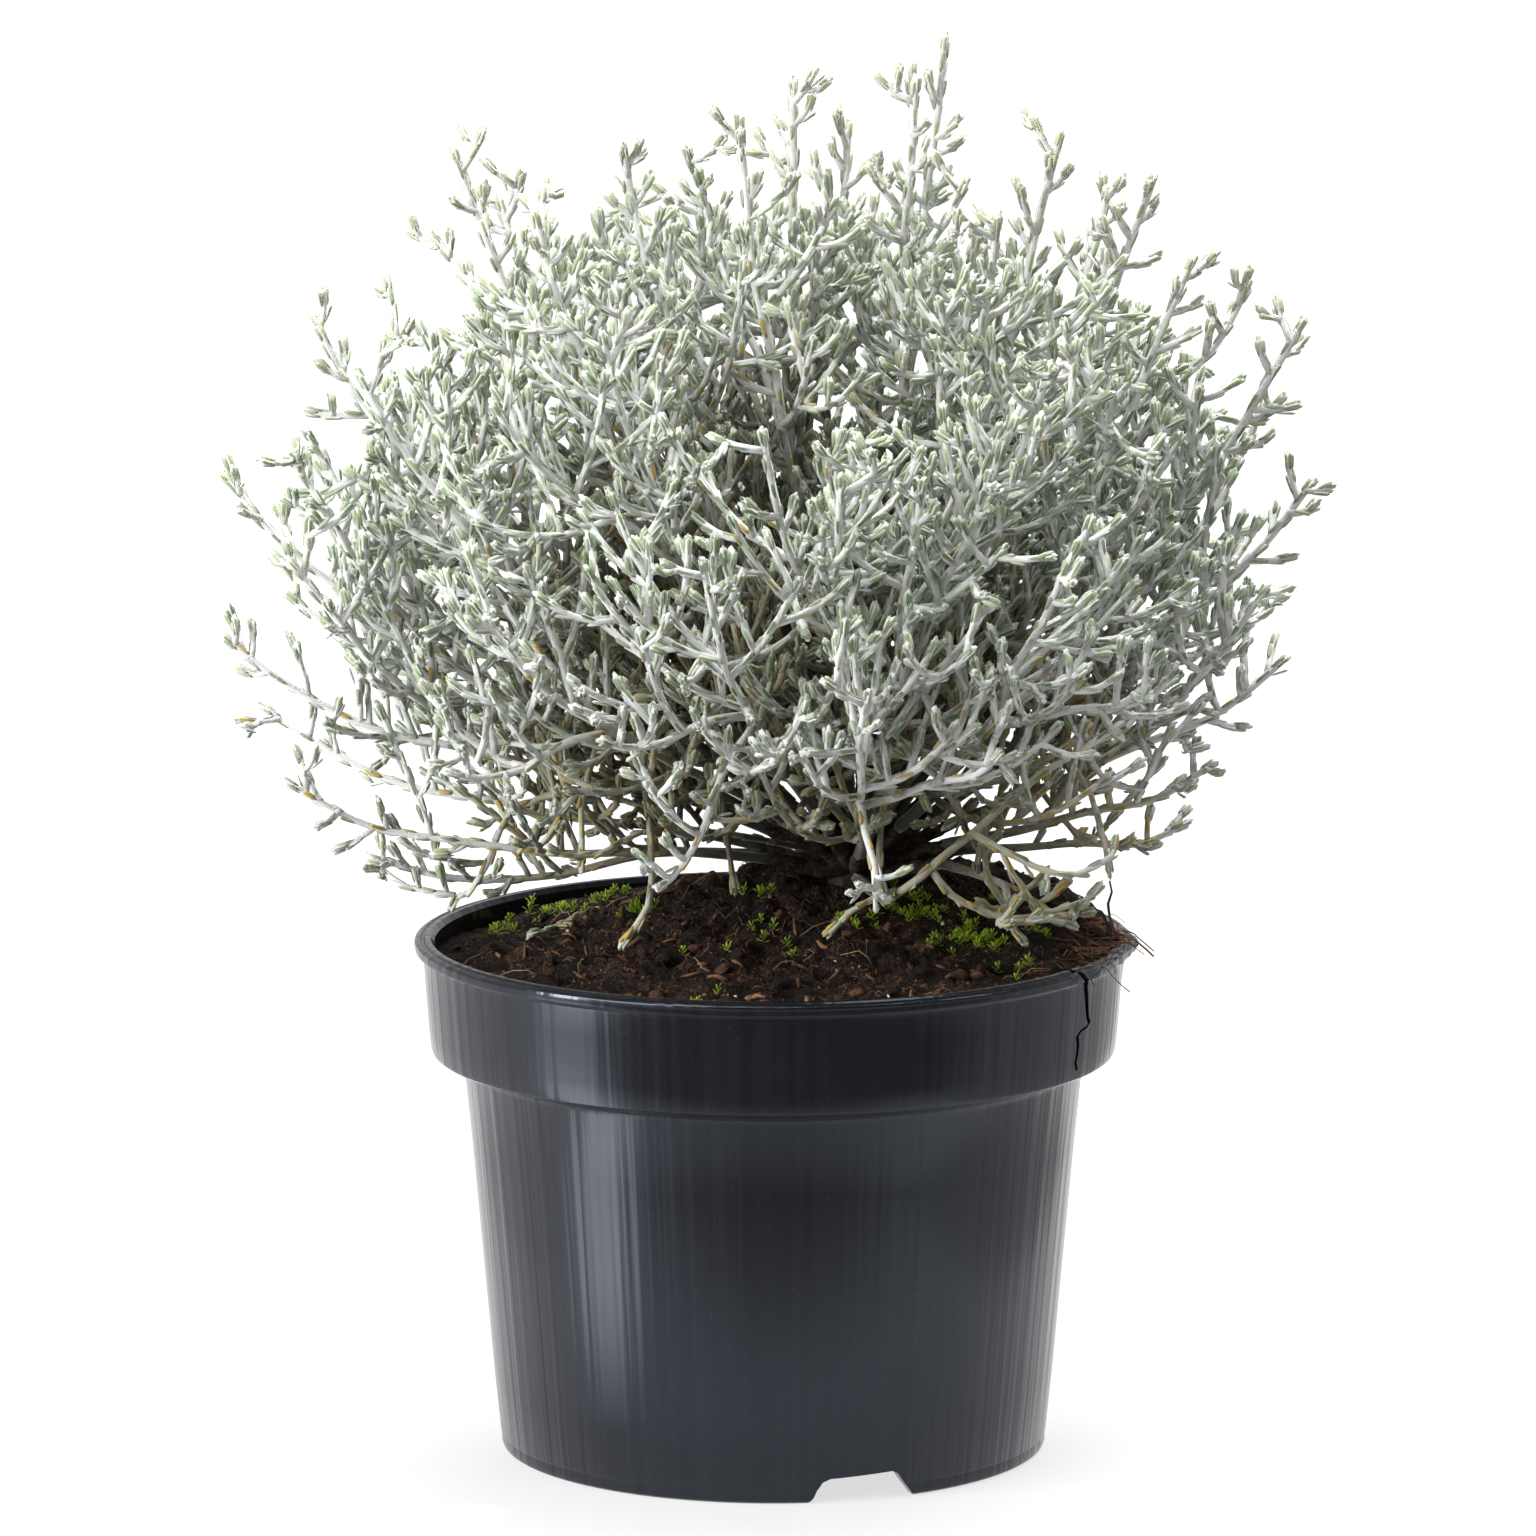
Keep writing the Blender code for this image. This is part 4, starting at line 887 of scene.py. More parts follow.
class Shoot:
    """One stem, fork, limb or twig: its points from root to tip and its radius at each."""

    def __init__(self, number, stem, level, points, radii, girth=1.0):
        self.girth = girth
        self.number = number
        self.stem = stem
        self.level = level
        self.points = points
        self.radii = radii

    def length(self):
        """Length along the shoot."""
        return float(np.linalg.norm(np.diff(self.points, axis=0), axis=1).sum())

    def place(self, distance):
        """The point and the direction at a distance from the root."""
        steps = np.diff(self.points, axis=0)
        lengths = np.linalg.norm(steps, axis=1)
        for step, length, start in zip(steps, lengths, self.points):
            if distance <= length:
                return start + step * (distance / length), step / length
            distance -= length
        return self.points[-1], unit(steps[-1])


def spread_directions(wanted):
    """Nudge directions apart until none stand closer than the crown's stubs can."""
    directions = [unit(direction) for direction in wanted]
    for _ in range(STUB_ROUNDS):
        moved = [direction.copy() for direction in directions]
        for one in range(len(directions)):
            for two in range(one):
                apart = math.acos(float(np.clip(directions[one] @ directions[two], -1.0, 1.0)))
                if apart < STUB_LEAST_ANGLE:
                    push = (directions[one] - directions[two]) * STUB_NUDGE
                    moved[one] += push
                    moved[two] -= push
        directions = [unit(lifted(direction)) for direction in moved]
    return directions


def lifted(direction):
    """A direction kept above the least rise over the soil."""
    flat = math.hypot(direction[0], direction[1])
    least = flat * math.tan(STUB_LEAST_RISE)
    return np.array((direction[0], direction[1], max(direction[2], least)))


def bezier(points, share):
    """A point on the cubic curve through four handles."""
    one, two, three, four = points
    rest = 1.0 - share
    return (one * rest ** 3 + two * 3 * rest * rest * share
            + three * 3 * rest * share * share + four * share ** 3)


def pull_from_heart(point, outward, upward):
    """The way a shoot bends at a point: away from the bush's heart and up."""
    return unit(unit(point - BALL_HEART) * outward + np.array((0.0, 0.0, upward)))


def stem_line(start, start_way, tip, tip_way, sway):
    """Points along a stem that leaves and arrives in given directions, with a slight zigzag."""
    reach = np.linalg.norm(tip - start)
    handles = (start, start + start_way * reach * STEM_HANDLE + sway[0],
               tip - tip_way * reach * STEM_HANDLE + sway[1], tip)
    count = max(STEM_LEAST_KNOTS, int(round(reach / STEM_NODE_SPACING)))
    sideways = unit(np.cross(tip - start, ZIGZAG_WAY))
    points = []
    for number in range(count + 1):
        share = number / count
        ease = math.sin(math.pi * share)
        zigzag = STEM_ZIGZAG * ease * (-1) ** number
        points.append(bezier(handles, share) + sideways * zigzag)
    return np.array(points)


def tapered(count, foot, body):
    """Radii from the foot to the club-shaped tip."""
    radii = [foot + (body - foot) * min(1.0, number / (count * TAPER_SHARE))
             for number in range(count)]
    radii[-2] = body * TIP_SWELL
    radii[-1] = body * TIP_TAPER
    return radii


def inside(point, centre, reach, drop, slack=0.0):
    """True inside a rounded, flat-bottomed outline."""
    reach = reach.copy()
    if point[2] < centre[2]:
        reach[2] = drop
    scaled = np.abs(point - centre) / (reach + slack)
    return float((scaled ** BALL_POWER).sum()) < 1.0


def in_hollow(point):
    """True in the dark clefts that part the front of the bush into cushions."""
    for hollow in FILL_HOLLOWS:
        centre, reach = np.array(hollow[:3]) * MM, np.array(hollow[3:]) * MM
        away = (point - centre) / reach
        if away @ away < 1.0:
            return True
    return False


def above_pot(points, radii):
    """True where a shoot keeps clear of the soil and the pot's lip."""
    for point, radius in zip(points, radii):
        floor = soil_height(point[0], point[1])
        if math.hypot(point[0], point[1]) > LIP_INNER_RADIUS - LIP_MARGIN:
            floor = max(floor, POT_HEIGHT)
        if point[2] - radius < floor + GROUND_MARGIN:
            return False
    return True


class Bush:
    """Grows the stems, their forks, limbs and twigs in a fixed order from one seed."""

    def __init__(self):
        self.draw = random.Random(SEED)
        self.opening, self.curl, self.pull = SHOOT_OPENING, SHOOT_CURL, SHOOT_PULL
        self.filling = False
        self.thicket = Thicket()
        self.shoots = []
        self.leaders = {}
        wanted = [np.array(tips[0]) * MM - CROWN for tips in STEM_TIPS]
        self.stub_ways = spread_directions(wanted)
        self.stub_ends = [CROWN + way * STUB_REACH for way in self.stub_ways]

    def sway(self, size):
        """A random step, up to a size each way."""
        return np.array([self.draw.uniform(-size, size) for _ in range(3)])

    def keep(self, stem, level, points, radii):
        """Number a shoot and let it stand."""
        shoot = Shoot(len(self.shoots), stem, level, points, radii)
        self.shoots.append(shoot)
        self.thicket.add(shoot)
        return shoot

    def grow_line(self, stem, level, start, way, tip, foot, body, parent):
        """Grow a stem or a fork to its tip, bent clear of what already stands."""
        tip_way = pull_from_heart(tip, *TIP_PULL)
        for attempt in range(STEM_TRIES):
            bend = 0.0 if attempt == 0 else FIRST_BEND + BEND_GROWTH * attempt
            sway = (self.sway(bend), self.sway(bend))
            points = stem_line(start + way * STRAIGHT_FOOT, way, tip, tip_way, sway)
            points = np.vstack((start, points))
            radii = tapered(len(points), foot, body)
            free = above_pot(points[2:], radii[2:])
            if free and self.thicket.is_clear(points, radii, parent):
                return self.keep(stem, level, points, radii)
        return None

    def grow_stems(self):
        """The main stems, the lowest first, each from the end of its stub to its first tip."""
        order = sorted(range(len(STEM_TIPS)), key=lambda stem: STEM_TIPS[stem][0][2])
        for stem in order:
            way = self.stub_ways[stem]
            start = self.stub_ends[stem] + way * FIT_GAP
            tip = np.array(STEM_TIPS[stem][0]) * MM
            grown = self.grow_line(stem, 0, start, way, tip, STEM_FOOT_RADIUS, STEM_RADIUS, -1)
            self.leaders[stem] = grown

    def grow_forks(self):
        """The forks that leave a main stem for its other tips."""
        for stem, tips in enumerate(STEM_TIPS):
            leader = self.leaders[stem]
            for tip_place in tips[1:]:
                tip = np.array(tip_place) * MM
                for share in (self.draw.uniform(*FORK_AT), *FORK_OTHERWISE):
                    root, along = leader.place(leader.length() * share)
                    way = unit(unit(tip - root) + along * FORK_SETBACK)
                    grown = self.grow_line(stem, 1, root, way, tip, FORK_RADIUS,
                                           FORK_RADIUS, leader.number)
                    if grown:
                        break

    def side_shoot(self, parent, distance, turn, lengths, radius, steps, level):
        """Try a side shoot at one place, longest first, turning it until it is clear."""
        root, along = parent.place(distance)
        across = unit(np.cross(along, SHOOT_LEVEL_WAY))
        other = np.cross(along, across)
        opening = math.radians(self.draw.uniform(*self.opening))
        curl = self.draw.uniform(*self.curl)
        longest, shortest = lengths
        tries = [(size, turn + more) for size in (longest, (longest + shortest) / 2, shortest)
                 for more in SHOOT_TURNS]
        for size, angle in tries:
            way = turned(along, turned(across, other, angle), opening)
            points = [root]
            for _ in range(steps):
                way = unit(way + pull_from_heart(points[-1], *self.pull) * curl)
                points.append(points[-1] + way * size / steps)
            points = np.array(points)
            radii = [radius * SHOOT_ROOT] + [radius] * (steps - 2) + [radius * CLUB_SWELL]
            radii.append(radius * CLUB_SWELL * TIP_TAPER)
            if self.may_grow(points, radii, size, parent.number):
                return self.keep(parent.stem, level, points, radii)
        return None

    def may_grow(self, points, radii, size, parent):
        """True where a shoot keeps to the bush's form and clear of all that stands."""
        tip = points[-1]
        if self.filling:
            in_reach = inside(tip, *FILL_BALL) or size < FILL_OUTSIDE_REACH
            in_reach = in_reach and not (in_hollow(tip) or in_hollow(points[-2]))
        else:
            in_reach = inside(tip, *BALL) or size < OUTSIDE_REACH
        return (in_reach and inside(tip, *BALL, BALL_SLACK) and above_pot(points, radii)
                and self.thicket.is_clear(points, radii, parent))

    def grow_limbs(self):
        """Limbs leave every stem and fork, one round of places at a time."""
        carriers = [shoot for shoot in self.shoots if shoot.level < 2]
        longest = max(carrier.length() for carrier in carriers)
        for place in range(int(longest / LIMB_SPACING) + 1):
            for carrier in carriers:
                back = LIMB_FIRST + place * LIMB_SPACING
                distance = carrier.length() - back
                if distance < LIMB_BARE:
                    continue
                size = min(LIMB_LENGTHS[0], LIMB_LEAST + back * LIMB_WIDENING)
                turn = carrier.number * LIMB_TURN + place * GOLDEN_ANGLE
                steps = 3 if size > LONG_LIMB else 2
                self.side_shoot(carrier, distance, turn, (size, LIMB_LENGTHS[1]), LIMB_RADIUS,
                                steps, 2)

    def grow_twigs(self):
        """Short twigs leave the limbs, and the stems between their limbs."""
        carriers = [shoot for shoot in self.shoots if shoot.length() > TWIG_CARRIER]
        for place in range(TWIG_ROUNDS):
            for carrier in carriers:
                back = TWIG_FIRST + place * TWIG_SPACING
                if carrier.level < 2:
                    back += LIMB_SPACING / 2 + place * TWIG_SPACING
                distance = carrier.length() - back
                if distance < (TWIG_BARE_ON_STEMS if carrier.level < 2 else TWIG_BARE):
                    continue
                turn = carrier.number * TWIG_TURN + place * GOLDEN_ANGLE + TWIG_FIRST_TURN
                self.side_shoot(carrier, distance, turn, TWIG_LENGTHS, TWIG_RADIUS, 2, 3)

    def fill_round(self, levels, first, spacing, bare, lengths, steps, least=0.0, widen=0.0):
        """More side shoots along the chosen levels, from the tips back towards the bare part."""
        carriers = [shoot for shoot in self.shoots
                    if shoot.level in levels and shoot.length() > least]
        longest = max(carrier.length() for carrier in carriers)
        for place in range(int(longest / spacing) + 1):
            for carrier in carriers:
                jitter = self.draw.uniform(-FILL_JITTER, FILL_JITTER)
                back = first + place * spacing + jitter * spacing
                distance = carrier.length() - back
                if distance < bare or back < FILL_NEAREST:
                    continue
                size = min(lengths[0], lengths[1] + back * widen)
                turn = carrier.number * FILL_TURN + place * GOLDEN_ANGLE + FILL_FIRST_TURN
                self.side_shoot(carrier, distance, turn, (size, lengths[2]), TWIG_RADIUS,
                                steps, max(levels) + 1)

    def fill(self):
        """The fine growth that the solids leave out."""
        self.filling = True
        self.thicket.clearance = FILL_CLEARANCE
        self.opening, self.curl, self.pull = FILL_OPENING, FILL_CURL, FILL_PULL
        for fine_round in FILL_ROUNDS:
            self.fill_round(**fine_round)

    def grow(self):
        self.grow_stems()
        self.grow_forks()
        self.grow_limbs()
        self.grow_twigs()
        self.fill()


# Meshes

def start_clean():
    """Nothing selected, so that the next operator touches only what it makes."""
    if bpy.context.object and bpy.context.object.mode != "OBJECT":
        bpy.ops.object.mode_set(mode="OBJECT")
    bpy.ops.object.select_all(action="DESELECT")


def work_on(obj):
    """Select one object alone and make it the active one."""
    start_clean()
    obj.select_set(True)
    bpy.context.view_layer.objects.active = obj


@contextmanager
def editing(obj):
    """Edit mode on one object's mesh, with all of it selected at first."""
    work_on(obj)
    bpy.ops.object.mode_set(mode="EDIT")
    bpy.ops.mesh.select_all(action="SELECT")
    yield
    bpy.ops.object.mode_set(mode="OBJECT")


def take(name):
    """The object that an operator just made, under its own name."""
    made = bpy.context.active_object
    made.name = name
    made.data.name = name
    return made


def pick(wanted):
    """In edit mode, select the points that a test accepts and nothing else."""
    mesh = bpy.context.object.data
    shape = bmesh.from_edit_mesh(mesh)
    for part in (*shape.faces, *shape.edges):
        part.select = False
    for point in shape.verts:
        point.select = bool(wanted(point.co))
    shape.select_flush_mode()
    bmesh.update_edit_mesh(mesh)


def pick_rims():
    """In edit mode, select a mesh's open rims and nothing else."""
    bpy.ops.mesh.select_all(action="DESELECT")
    bpy.ops.mesh.select_mode(type="VERT")
    bpy.ops.mesh.select_non_manifold()


def turn_outwards():
    """In edit mode, point every face outwards, with the faces listed the same in every run."""
    bpy.ops.mesh.select_all(action="SELECT")
    bpy.ops.mesh.normals_make_consistent(inside=False)
    list_faces()


def list_faces():
    """In edit mode, list the faces in the order of their points."""
    mesh = bpy.context.object.data
    shape = bmesh.from_edit_mesh(mesh)
    count = len(shape.verts)

    def place_in_list(face):
        numbers = [point.index for point in face.verts]
        return min(numbers) * count + max(numbers)

    shape.verts.index_update()
    shape.faces.sort(key=place_in_list)
    bmesh.update_edit_mesh(mesh)


def set_down(obj):
    """Put an object's place into its mesh."""
    work_on(obj)
    bpy.ops.object.transform_apply(location=True, rotation=True, scale=True)


def put_in_scene(name, data):
    """A new object that holds a mesh, a curve, a light or a camera."""
    obj = bpy.data.objects.new(name, data)
    bpy.context.scene.collection.objects.link(obj)
    return obj


def arrays_of(mesh):
    """A mesh's points and its triangles as arrays."""
    mesh.calc_loop_triangles()
    points = np.empty(len(mesh.vertices) * 3)
    mesh.vertices.foreach_get("co", points)
    faces = np.empty(len(mesh.loop_triangles) * 3, dtype=np.int32)
    mesh.loop_triangles.foreach_get("vertices", faces)
    return points.reshape(-1, 3), faces.reshape(-1, 3)


def mesh_from(name, points, faces, attributes, smooth=True):
    """A mesh from arrays, with one number of each kind at each point."""
    mesh = bpy.data.meshes.new(name)
    mesh.vertices.add(len(points))
    mesh.vertices.foreach_set("co", np.asarray(points, dtype=np.float32).ravel())
    mesh.loops.add(faces.size)
    mesh.loops.foreach_set("vertex_index", faces.ravel().astype(np.int32))
    mesh.polygons.add(len(faces))
    mesh.polygons.foreach_set("loop_start", np.arange(0, faces.size, 3, dtype=np.int32))
    mesh.polygons.foreach_set("use_smooth", np.full(len(faces), smooth))
    for kind, values in attributes.items():
        layer = mesh.attributes.new(kind, "FLOAT", "POINT")
        layer.data.foreach_set("value", np.asarray(values, dtype=np.float32))
    mesh.update()
    mesh.validate()
    return mesh


def make_piece(obj, material, slot, *nodes):
    """A finished piece on the root body, standing for the named solids."""
    obj.data.materials.clear()
    obj.data.materials.append(material)
    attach(obj, ROOT)
    if nodes:
        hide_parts(*nodes)


def leaf_shape():
    """One narrow blunt leaf along +Z with its ridge towards +Y, modelled once and copied."""
    start_clean()
    bpy.ops.mesh.primitive_cylinder_add(vertices=3, radius=PATTERN_RADIUS, depth=PATTERN_BODY,
                                        end_fill_type="TRIFAN", location=(0.0, 0.0, 0.0))
    leaf = take("leaf_pattern")
    with editing(leaf):
        pick(lambda co: co.z < 0 and co.xy.length > PATTERN_CORE)
        bpy.ops.transform.resize(value=(PATTERN_FOOT, PATTERN_FOOT, 1.0))
        pick(lambda co: co.z < 0 and co.xy.length < PATTERN_CORE)
        bpy.ops.transform.translate(value=PATTERN_FOOT_POINT)
        pick(lambda co: co.z > 0 and co.xy.length < PATTERN_CORE)
        bpy.ops.transform.translate(value=PATTERN_TIP_POINT)
        bpy.ops.mesh.select_all(action="SELECT")
        bpy.ops.transform.translate(value=PATTERN_PLACE)
    points, faces = arrays_of(leaf.data)
    bpy.data.objects.remove(leaf, do_unlink=True)
    middle = np.hypot(points[:, 0], points[:, 1] - PATTERN_PLACE[1]) < PATTERN_CORE
    felt = np.where(middle, FELT_ON_ENDS, 1.0)
    felt[points[:, 1] > PATTERN_RIDGE] = 0.0
    return points / PATTERN_SPREAD, faces, felt


class Foliage:
    """Gathers the leaves of one piece as copies of a leaf pattern."""

    def __init__(self, pattern):
        self.pattern = pattern
        self.places = []
        self.frames = []
        self.sizes = []
        self.marks = []

    def add(self, place, along, outward, size, marks):
        """One leaf: where it starts, where it points, where its back faces, and its marks."""
        self.places.append(place)
        self.frames.append(np.array((np.cross(outward, along), outward, along)))
        self.sizes.append(size)
        self.marks.append(marks)

    def arrays(self):
        """All leaves as points, faces and the marks of each point."""
        points, faces, felt = self.pattern
        count = len(self.places)
        sizes = np.array(self.sizes).reshape(count, 1, 3)
        frames = np.array(self.frames).reshape(count, 3, 3)
        places = np.array(self.places).reshape(count, 1, 3)
        leaves = np.einsum("npk,nkj->npj", points[None] * sizes, frames) + places
        shift = np.arange(count)[:, None, None] * len(points)
        marks = np.repeat(np.array(self.marks).reshape(count, 3), len(points), axis=0)
        return (leaves.reshape(-1, 3), (faces[None] + shift).reshape(-1, 3),
                {"felt": np.tile(felt, count), "age": marks[:, 0], "tone": marks[:, 1],
                 "youth": marks[:, 2]})


def smooth_line(points, step):
    """A curve through the points with a knot about every step."""
    points = np.asarray(points)
    ends = np.vstack((2 * points[0] - points[1], points, 2 * points[-1] - points[-2]))
    line = []
    for number in range(len(points) - 1):
        before, first, second, after = ends[number:number + 4]
        count = max(1, int(round(np.linalg.norm(second - first) / step)))
        for knot in range(count):
            t = knot / count
            line.append(0.5 * (2 * first + (second - before) * t
                               + (2 * before - 5 * first + 4 * second - after) * t * t
                               + (3 * first - before - 3 * second + after) * t ** 3))
    line.append(points[-1])
    return np.array(line)


def ring_profile(name, sides):
    """The many-sided ring that a rod is swept with."""
    curve = bpy.data.curves.new(name, "CURVE")
    curve.dimensions = "2D"
    spline = curve.splines.new("POLY")
    spline.points.add(sides - 1)
    for number, point in enumerate(spline.points):
        angle = number * math.tau / sides
        point.co = (math.cos(angle), math.sin(angle), 0.0, 1.0)
    spline.use_cyclic_u = True
    return put_in_scene(name, curve)


def rods(lines, profile):
    """Closed rods along lines of points with a radius at each, as arrays."""
    curve = bpy.data.curves.new("rods", "CURVE")
    curve.dimensions = "3D"
    curve.bevel_mode = "OBJECT"
    curve.bevel_object = profile
    curve.use_fill_caps = True
    for points, radii in lines:
        spline = curve.splines.new("POLY")
        spline.points.add(len(points) - 1)
        places = np.hstack((points, np.ones((len(points), 1))))
        spline.points.foreach_set("co", places.ravel())
        spline.points.foreach_set("radius", np.asarray(radii, dtype=float))
    obj = put_in_scene("rods", curve)
    bpy.context.view_layer.update()
    graph = bpy.context.evaluated_depsgraph_get()
    mesh = bpy.data.meshes.new_from_object(obj.evaluated_get(graph))
    bpy.data.objects.remove(obj, do_unlink=True)
    bpy.data.curves.remove(curve)
    shape = bmesh.new()
    shape.from_mesh(mesh)
    bmesh.ops.remove_doubles(shape, verts=shape.verts, dist=MERGE_DISTANCE)
    bmesh.ops.recalc_face_normals(shape, faces=shape.faces)
    shape.to_mesh(mesh)
    shape.free()
    found = arrays_of(mesh)
    bpy.data.meshes.remove(mesh)
    return found


# Fine foliage

def edge_share(point):
    """How far out a point is: nought in the middle of the bush and one at its outline."""
    return np.linalg.norm((point - BALL_CENTRE) / BALL_REACH)


def shoot_age(point, level, draw):
    """Nought on fresh outer growth, one on the old wood by the crown."""
    near = 1.0 - share_of(np.linalg.norm(point - CROWN), *AGE_BY_CROWN)
    low = 1.0 - share_of(point[2], *AGE_BY_HEIGHT)
    deep = 1.0 - share_of(edge_share(point), *AGE_BY_DEPTH)
    by_crown, by_height, by_depth = AGE_SHARES
    age = by_crown * near + by_height * low + by_depth * deep - AGE_PER_LEVEL * level
    return min(1.0, max(0.0, age + draw.uniform(-AGE_SPREAD, AGE_SPREAD)))


def youth_of(point):
    """How yellow a tip is: most at the top of the bush and out at its edge."""
    by_height, by_edge = YOUTH_SHARES
    return min(1.0, by_height * share_of(point[2], *YOUTH_BY_HEIGHT)
               + by_edge * share_of(edge_share(point), *YOUTH_BY_EDGE))


def across_of(along):
    """Two directions across a stem."""
    first = unit(np.cross(along, ACROSS_WAY))
    return first, np.cross(along, first)


def girth_at(points):
    """How thick a shoot is for its kind: thinner low down, where less light falls."""
    return float(np.interp(points[:, 2].mean(), GIRTH_HEIGHTS, GIRTHS))


def felt_radius(shoot, share):
    """Thickness of a shoot's felted stem at a share of its length."""
    radii = FELT_RADII[min(shoot.level, 3)]
    return float(np.interp(share, SHOOT_SHARES, radii)) * MM * shoot.girth


def dress_shoot(shoot, foliage, draw):
    """Leaves pressed all the way up one shoot, and the club of young ones at its tip."""
    length = shoot.length()
    turn = draw.uniform(0.0, math.tau)
    distance = FIRST_LEAF[min(shoot.level, 2)]
    while distance < length - LEAFLESS_TIP:
        point, along = shoot.place(distance)
        age = shoot_age(point, shoot.level, draw)
        out = turned(*across_of(along), turn)
        lift = math.radians(draw.uniform(*LEAF_LIFT))
        if draw.random() < STRAY_SHARE:
            lift = math.radians(draw.uniform(*STRAY_LIFT))
        size = (draw.uniform(*LEAF_WIDTH), LEAF_THICKNESS * draw.uniform(*LEAF_THICKNESS_SPREAD),
                draw.uniform(*LEAF_LENGTH) * (1.0 - OLD_IS_SHORTER * age))
        core = felt_radius(shoot, distance / length) - LEAF_SINK
        marks = (age, draw.random(), youth_of(point) * LEAF_YOUTH)
        foliage.add(point + out * core, turned(along, out, lift), turned(out, along, -lift),
                    size, marks)
        turn += GOLDEN_ANGLE + draw.uniform(-LEAF_TURN_SPREAD, LEAF_TURN_SPREAD)
        sparse = 1.0 + OLD_IS_SPARSER * age + (STEMS_ARE_SPARSER if shoot.level < 2 else 0.0)
        distance += LEAF_SPACING * sparse * draw.uniform(*LEAF_SPACING_SPREAD)
    dress_tip(shoot, foliage, draw, turn)


def dress_tip(shoot, foliage, draw, turn):
    """The blunt bud of closed young leaves that ends a shoot."""
    tip, along = shoot.place(shoot.length())
    across = across_of(along)
    age = shoot_age(tip, shoot.level, draw) * CLUB_AGE
    youth = youth_of(tip)
    flare = draw.uniform(*CLUB_FLARE)
    swell = draw.uniform(*CLUB_FULLNESS)
    for number in range(CLUB_LEAVES):
        out = turned(*across, turn + number * GOLDEN_ANGLE)
        heart = number == CLUB_LEAVES - 1
        lift = math.radians(flare + draw.uniform(-CLUB_FLARE_SPREAD, CLUB_FLARE_SPREAD))
        long = draw.uniform(*CLUB_LEAF_LENGTH)
        beyond = (CLUB_HEART_RISE if heart else draw.uniform(-CLUB_STAGGER, CLUB_STAGGER)) * MM
        core = 0.0 if heart else CLUB_RADIUS * swell
        size = (draw.uniform(*CLUB_LEAF_WIDTH), CLUB_LEAF_THICKNESS * swell, long)
        foliage.add(tip + along * (beyond - long) + out * core, turned(along, out, lift),
                    turned(out, along, -lift), size, (age, draw.random(), youth))


def felt_line(shoot):
    """A shoot's own stem as a smooth line, with the thickness of its felt."""
    line = smooth_line(shoot.points, LINE_STEP if shoot.length() > STUB_LENGTH else STUB_LENGTH)
    felted = Shoot(shoot.number, shoot.stem, shoot.level, line, None, girth_at(line))
    felted.radii = np.array([felt_radius(felted, share)
                             for share in np.linspace(0.0, 1.0, len(line))])
    felted.radii[-1] *= FELT_TIP
    return felted


def joined(*shapes):
    """Several sets of points, faces and marks as one, with noughts for the marks they lack."""
    points = np.vstack([shape[0] for shape in shapes])
    starts = np.cumsum([0] + [len(shape[0]) for shape in shapes[:-1]])
    faces = np.vstack([shape[1] + start for shape, start in zip(shapes, starts)])
    marks = {kind: np.concatenate([shape[2].get(kind, np.zeros(len(shape[0])))
                                   for shape in shapes]) for kind in shapes[0][2]}
    return points, faces, marks


def make_foliage(name, shoots, pattern, profile, material, nodes, seed):
    """One leafy stem with all that grows on it."""
    draw = random.Random(seed)
    foliage = Foliage(pattern)
    lines = []
    for shoot in shoots:
        felted = felt_line(shoot)
        lines.append((felted.points, felted.radii))
        dress_shoot(felted, foliage, draw)
    points, faces = rods(lines, profile)
    marks = {kind: np.full(len(points), mark) for kind, mark in STEM_MARKS.items()}
    marks["age"] = np.array([shoot_age(point, 0, draw) for point in points])
    mesh = mesh_from(name, *joined((points, faces, marks), foliage.arrays()))
    make_piece(put_in_scene(name, mesh), material, "silver_leaf", *nodes)


def make_crown(bush, profile, material):
    """The woody crown: a gnarled trunk and the thick feet of the stems."""
    draw = random.Random(CROWN_SEED)
    lines = []
    for way, end in zip(bush.stub_ways, bush.stub_ends):
        sag = np.array((0.0, 0.0, draw.uniform(*STUB_SAG))) * MM
        middle = CROWN + way * STUB_REACH * 0.5 + sag
        line = smooth_line((CROWN + way * STUB_INSET * MM, middle, end + way * STUB_OVERLAP * MM),
                           STUB_STEP)
        radii = np.linspace(STUB_RADIUS * STUB_SWELL, STEM_FOOT_RADIUS * STEM_FOOT_SWELL, len(line))
        lines.append((line, radii))
    wave, sway = TRUNK_WAVE
    trunk = [(math.sin(step * wave) * sway * MM, 0.0, -step * TRUNK_DROP * MM)
             for step in range(TRUNK_KNOTS)]
    top, foot = TRUNK_TAPER
    lines.append((CROWN + np.array(trunk),
                  np.linspace(TRUNK_RADIUS * top, TRUNK_RADIUS * foot, TRUNK_KNOTS)))
    points, faces = rods(lines, profile)
    crown = put_in_scene("woody_crown_bark", mesh_from("woody_crown_bark", points, faces, {}))
    make_piece(crown, material, "bark", "woody_crown")
    gnarl(crown)


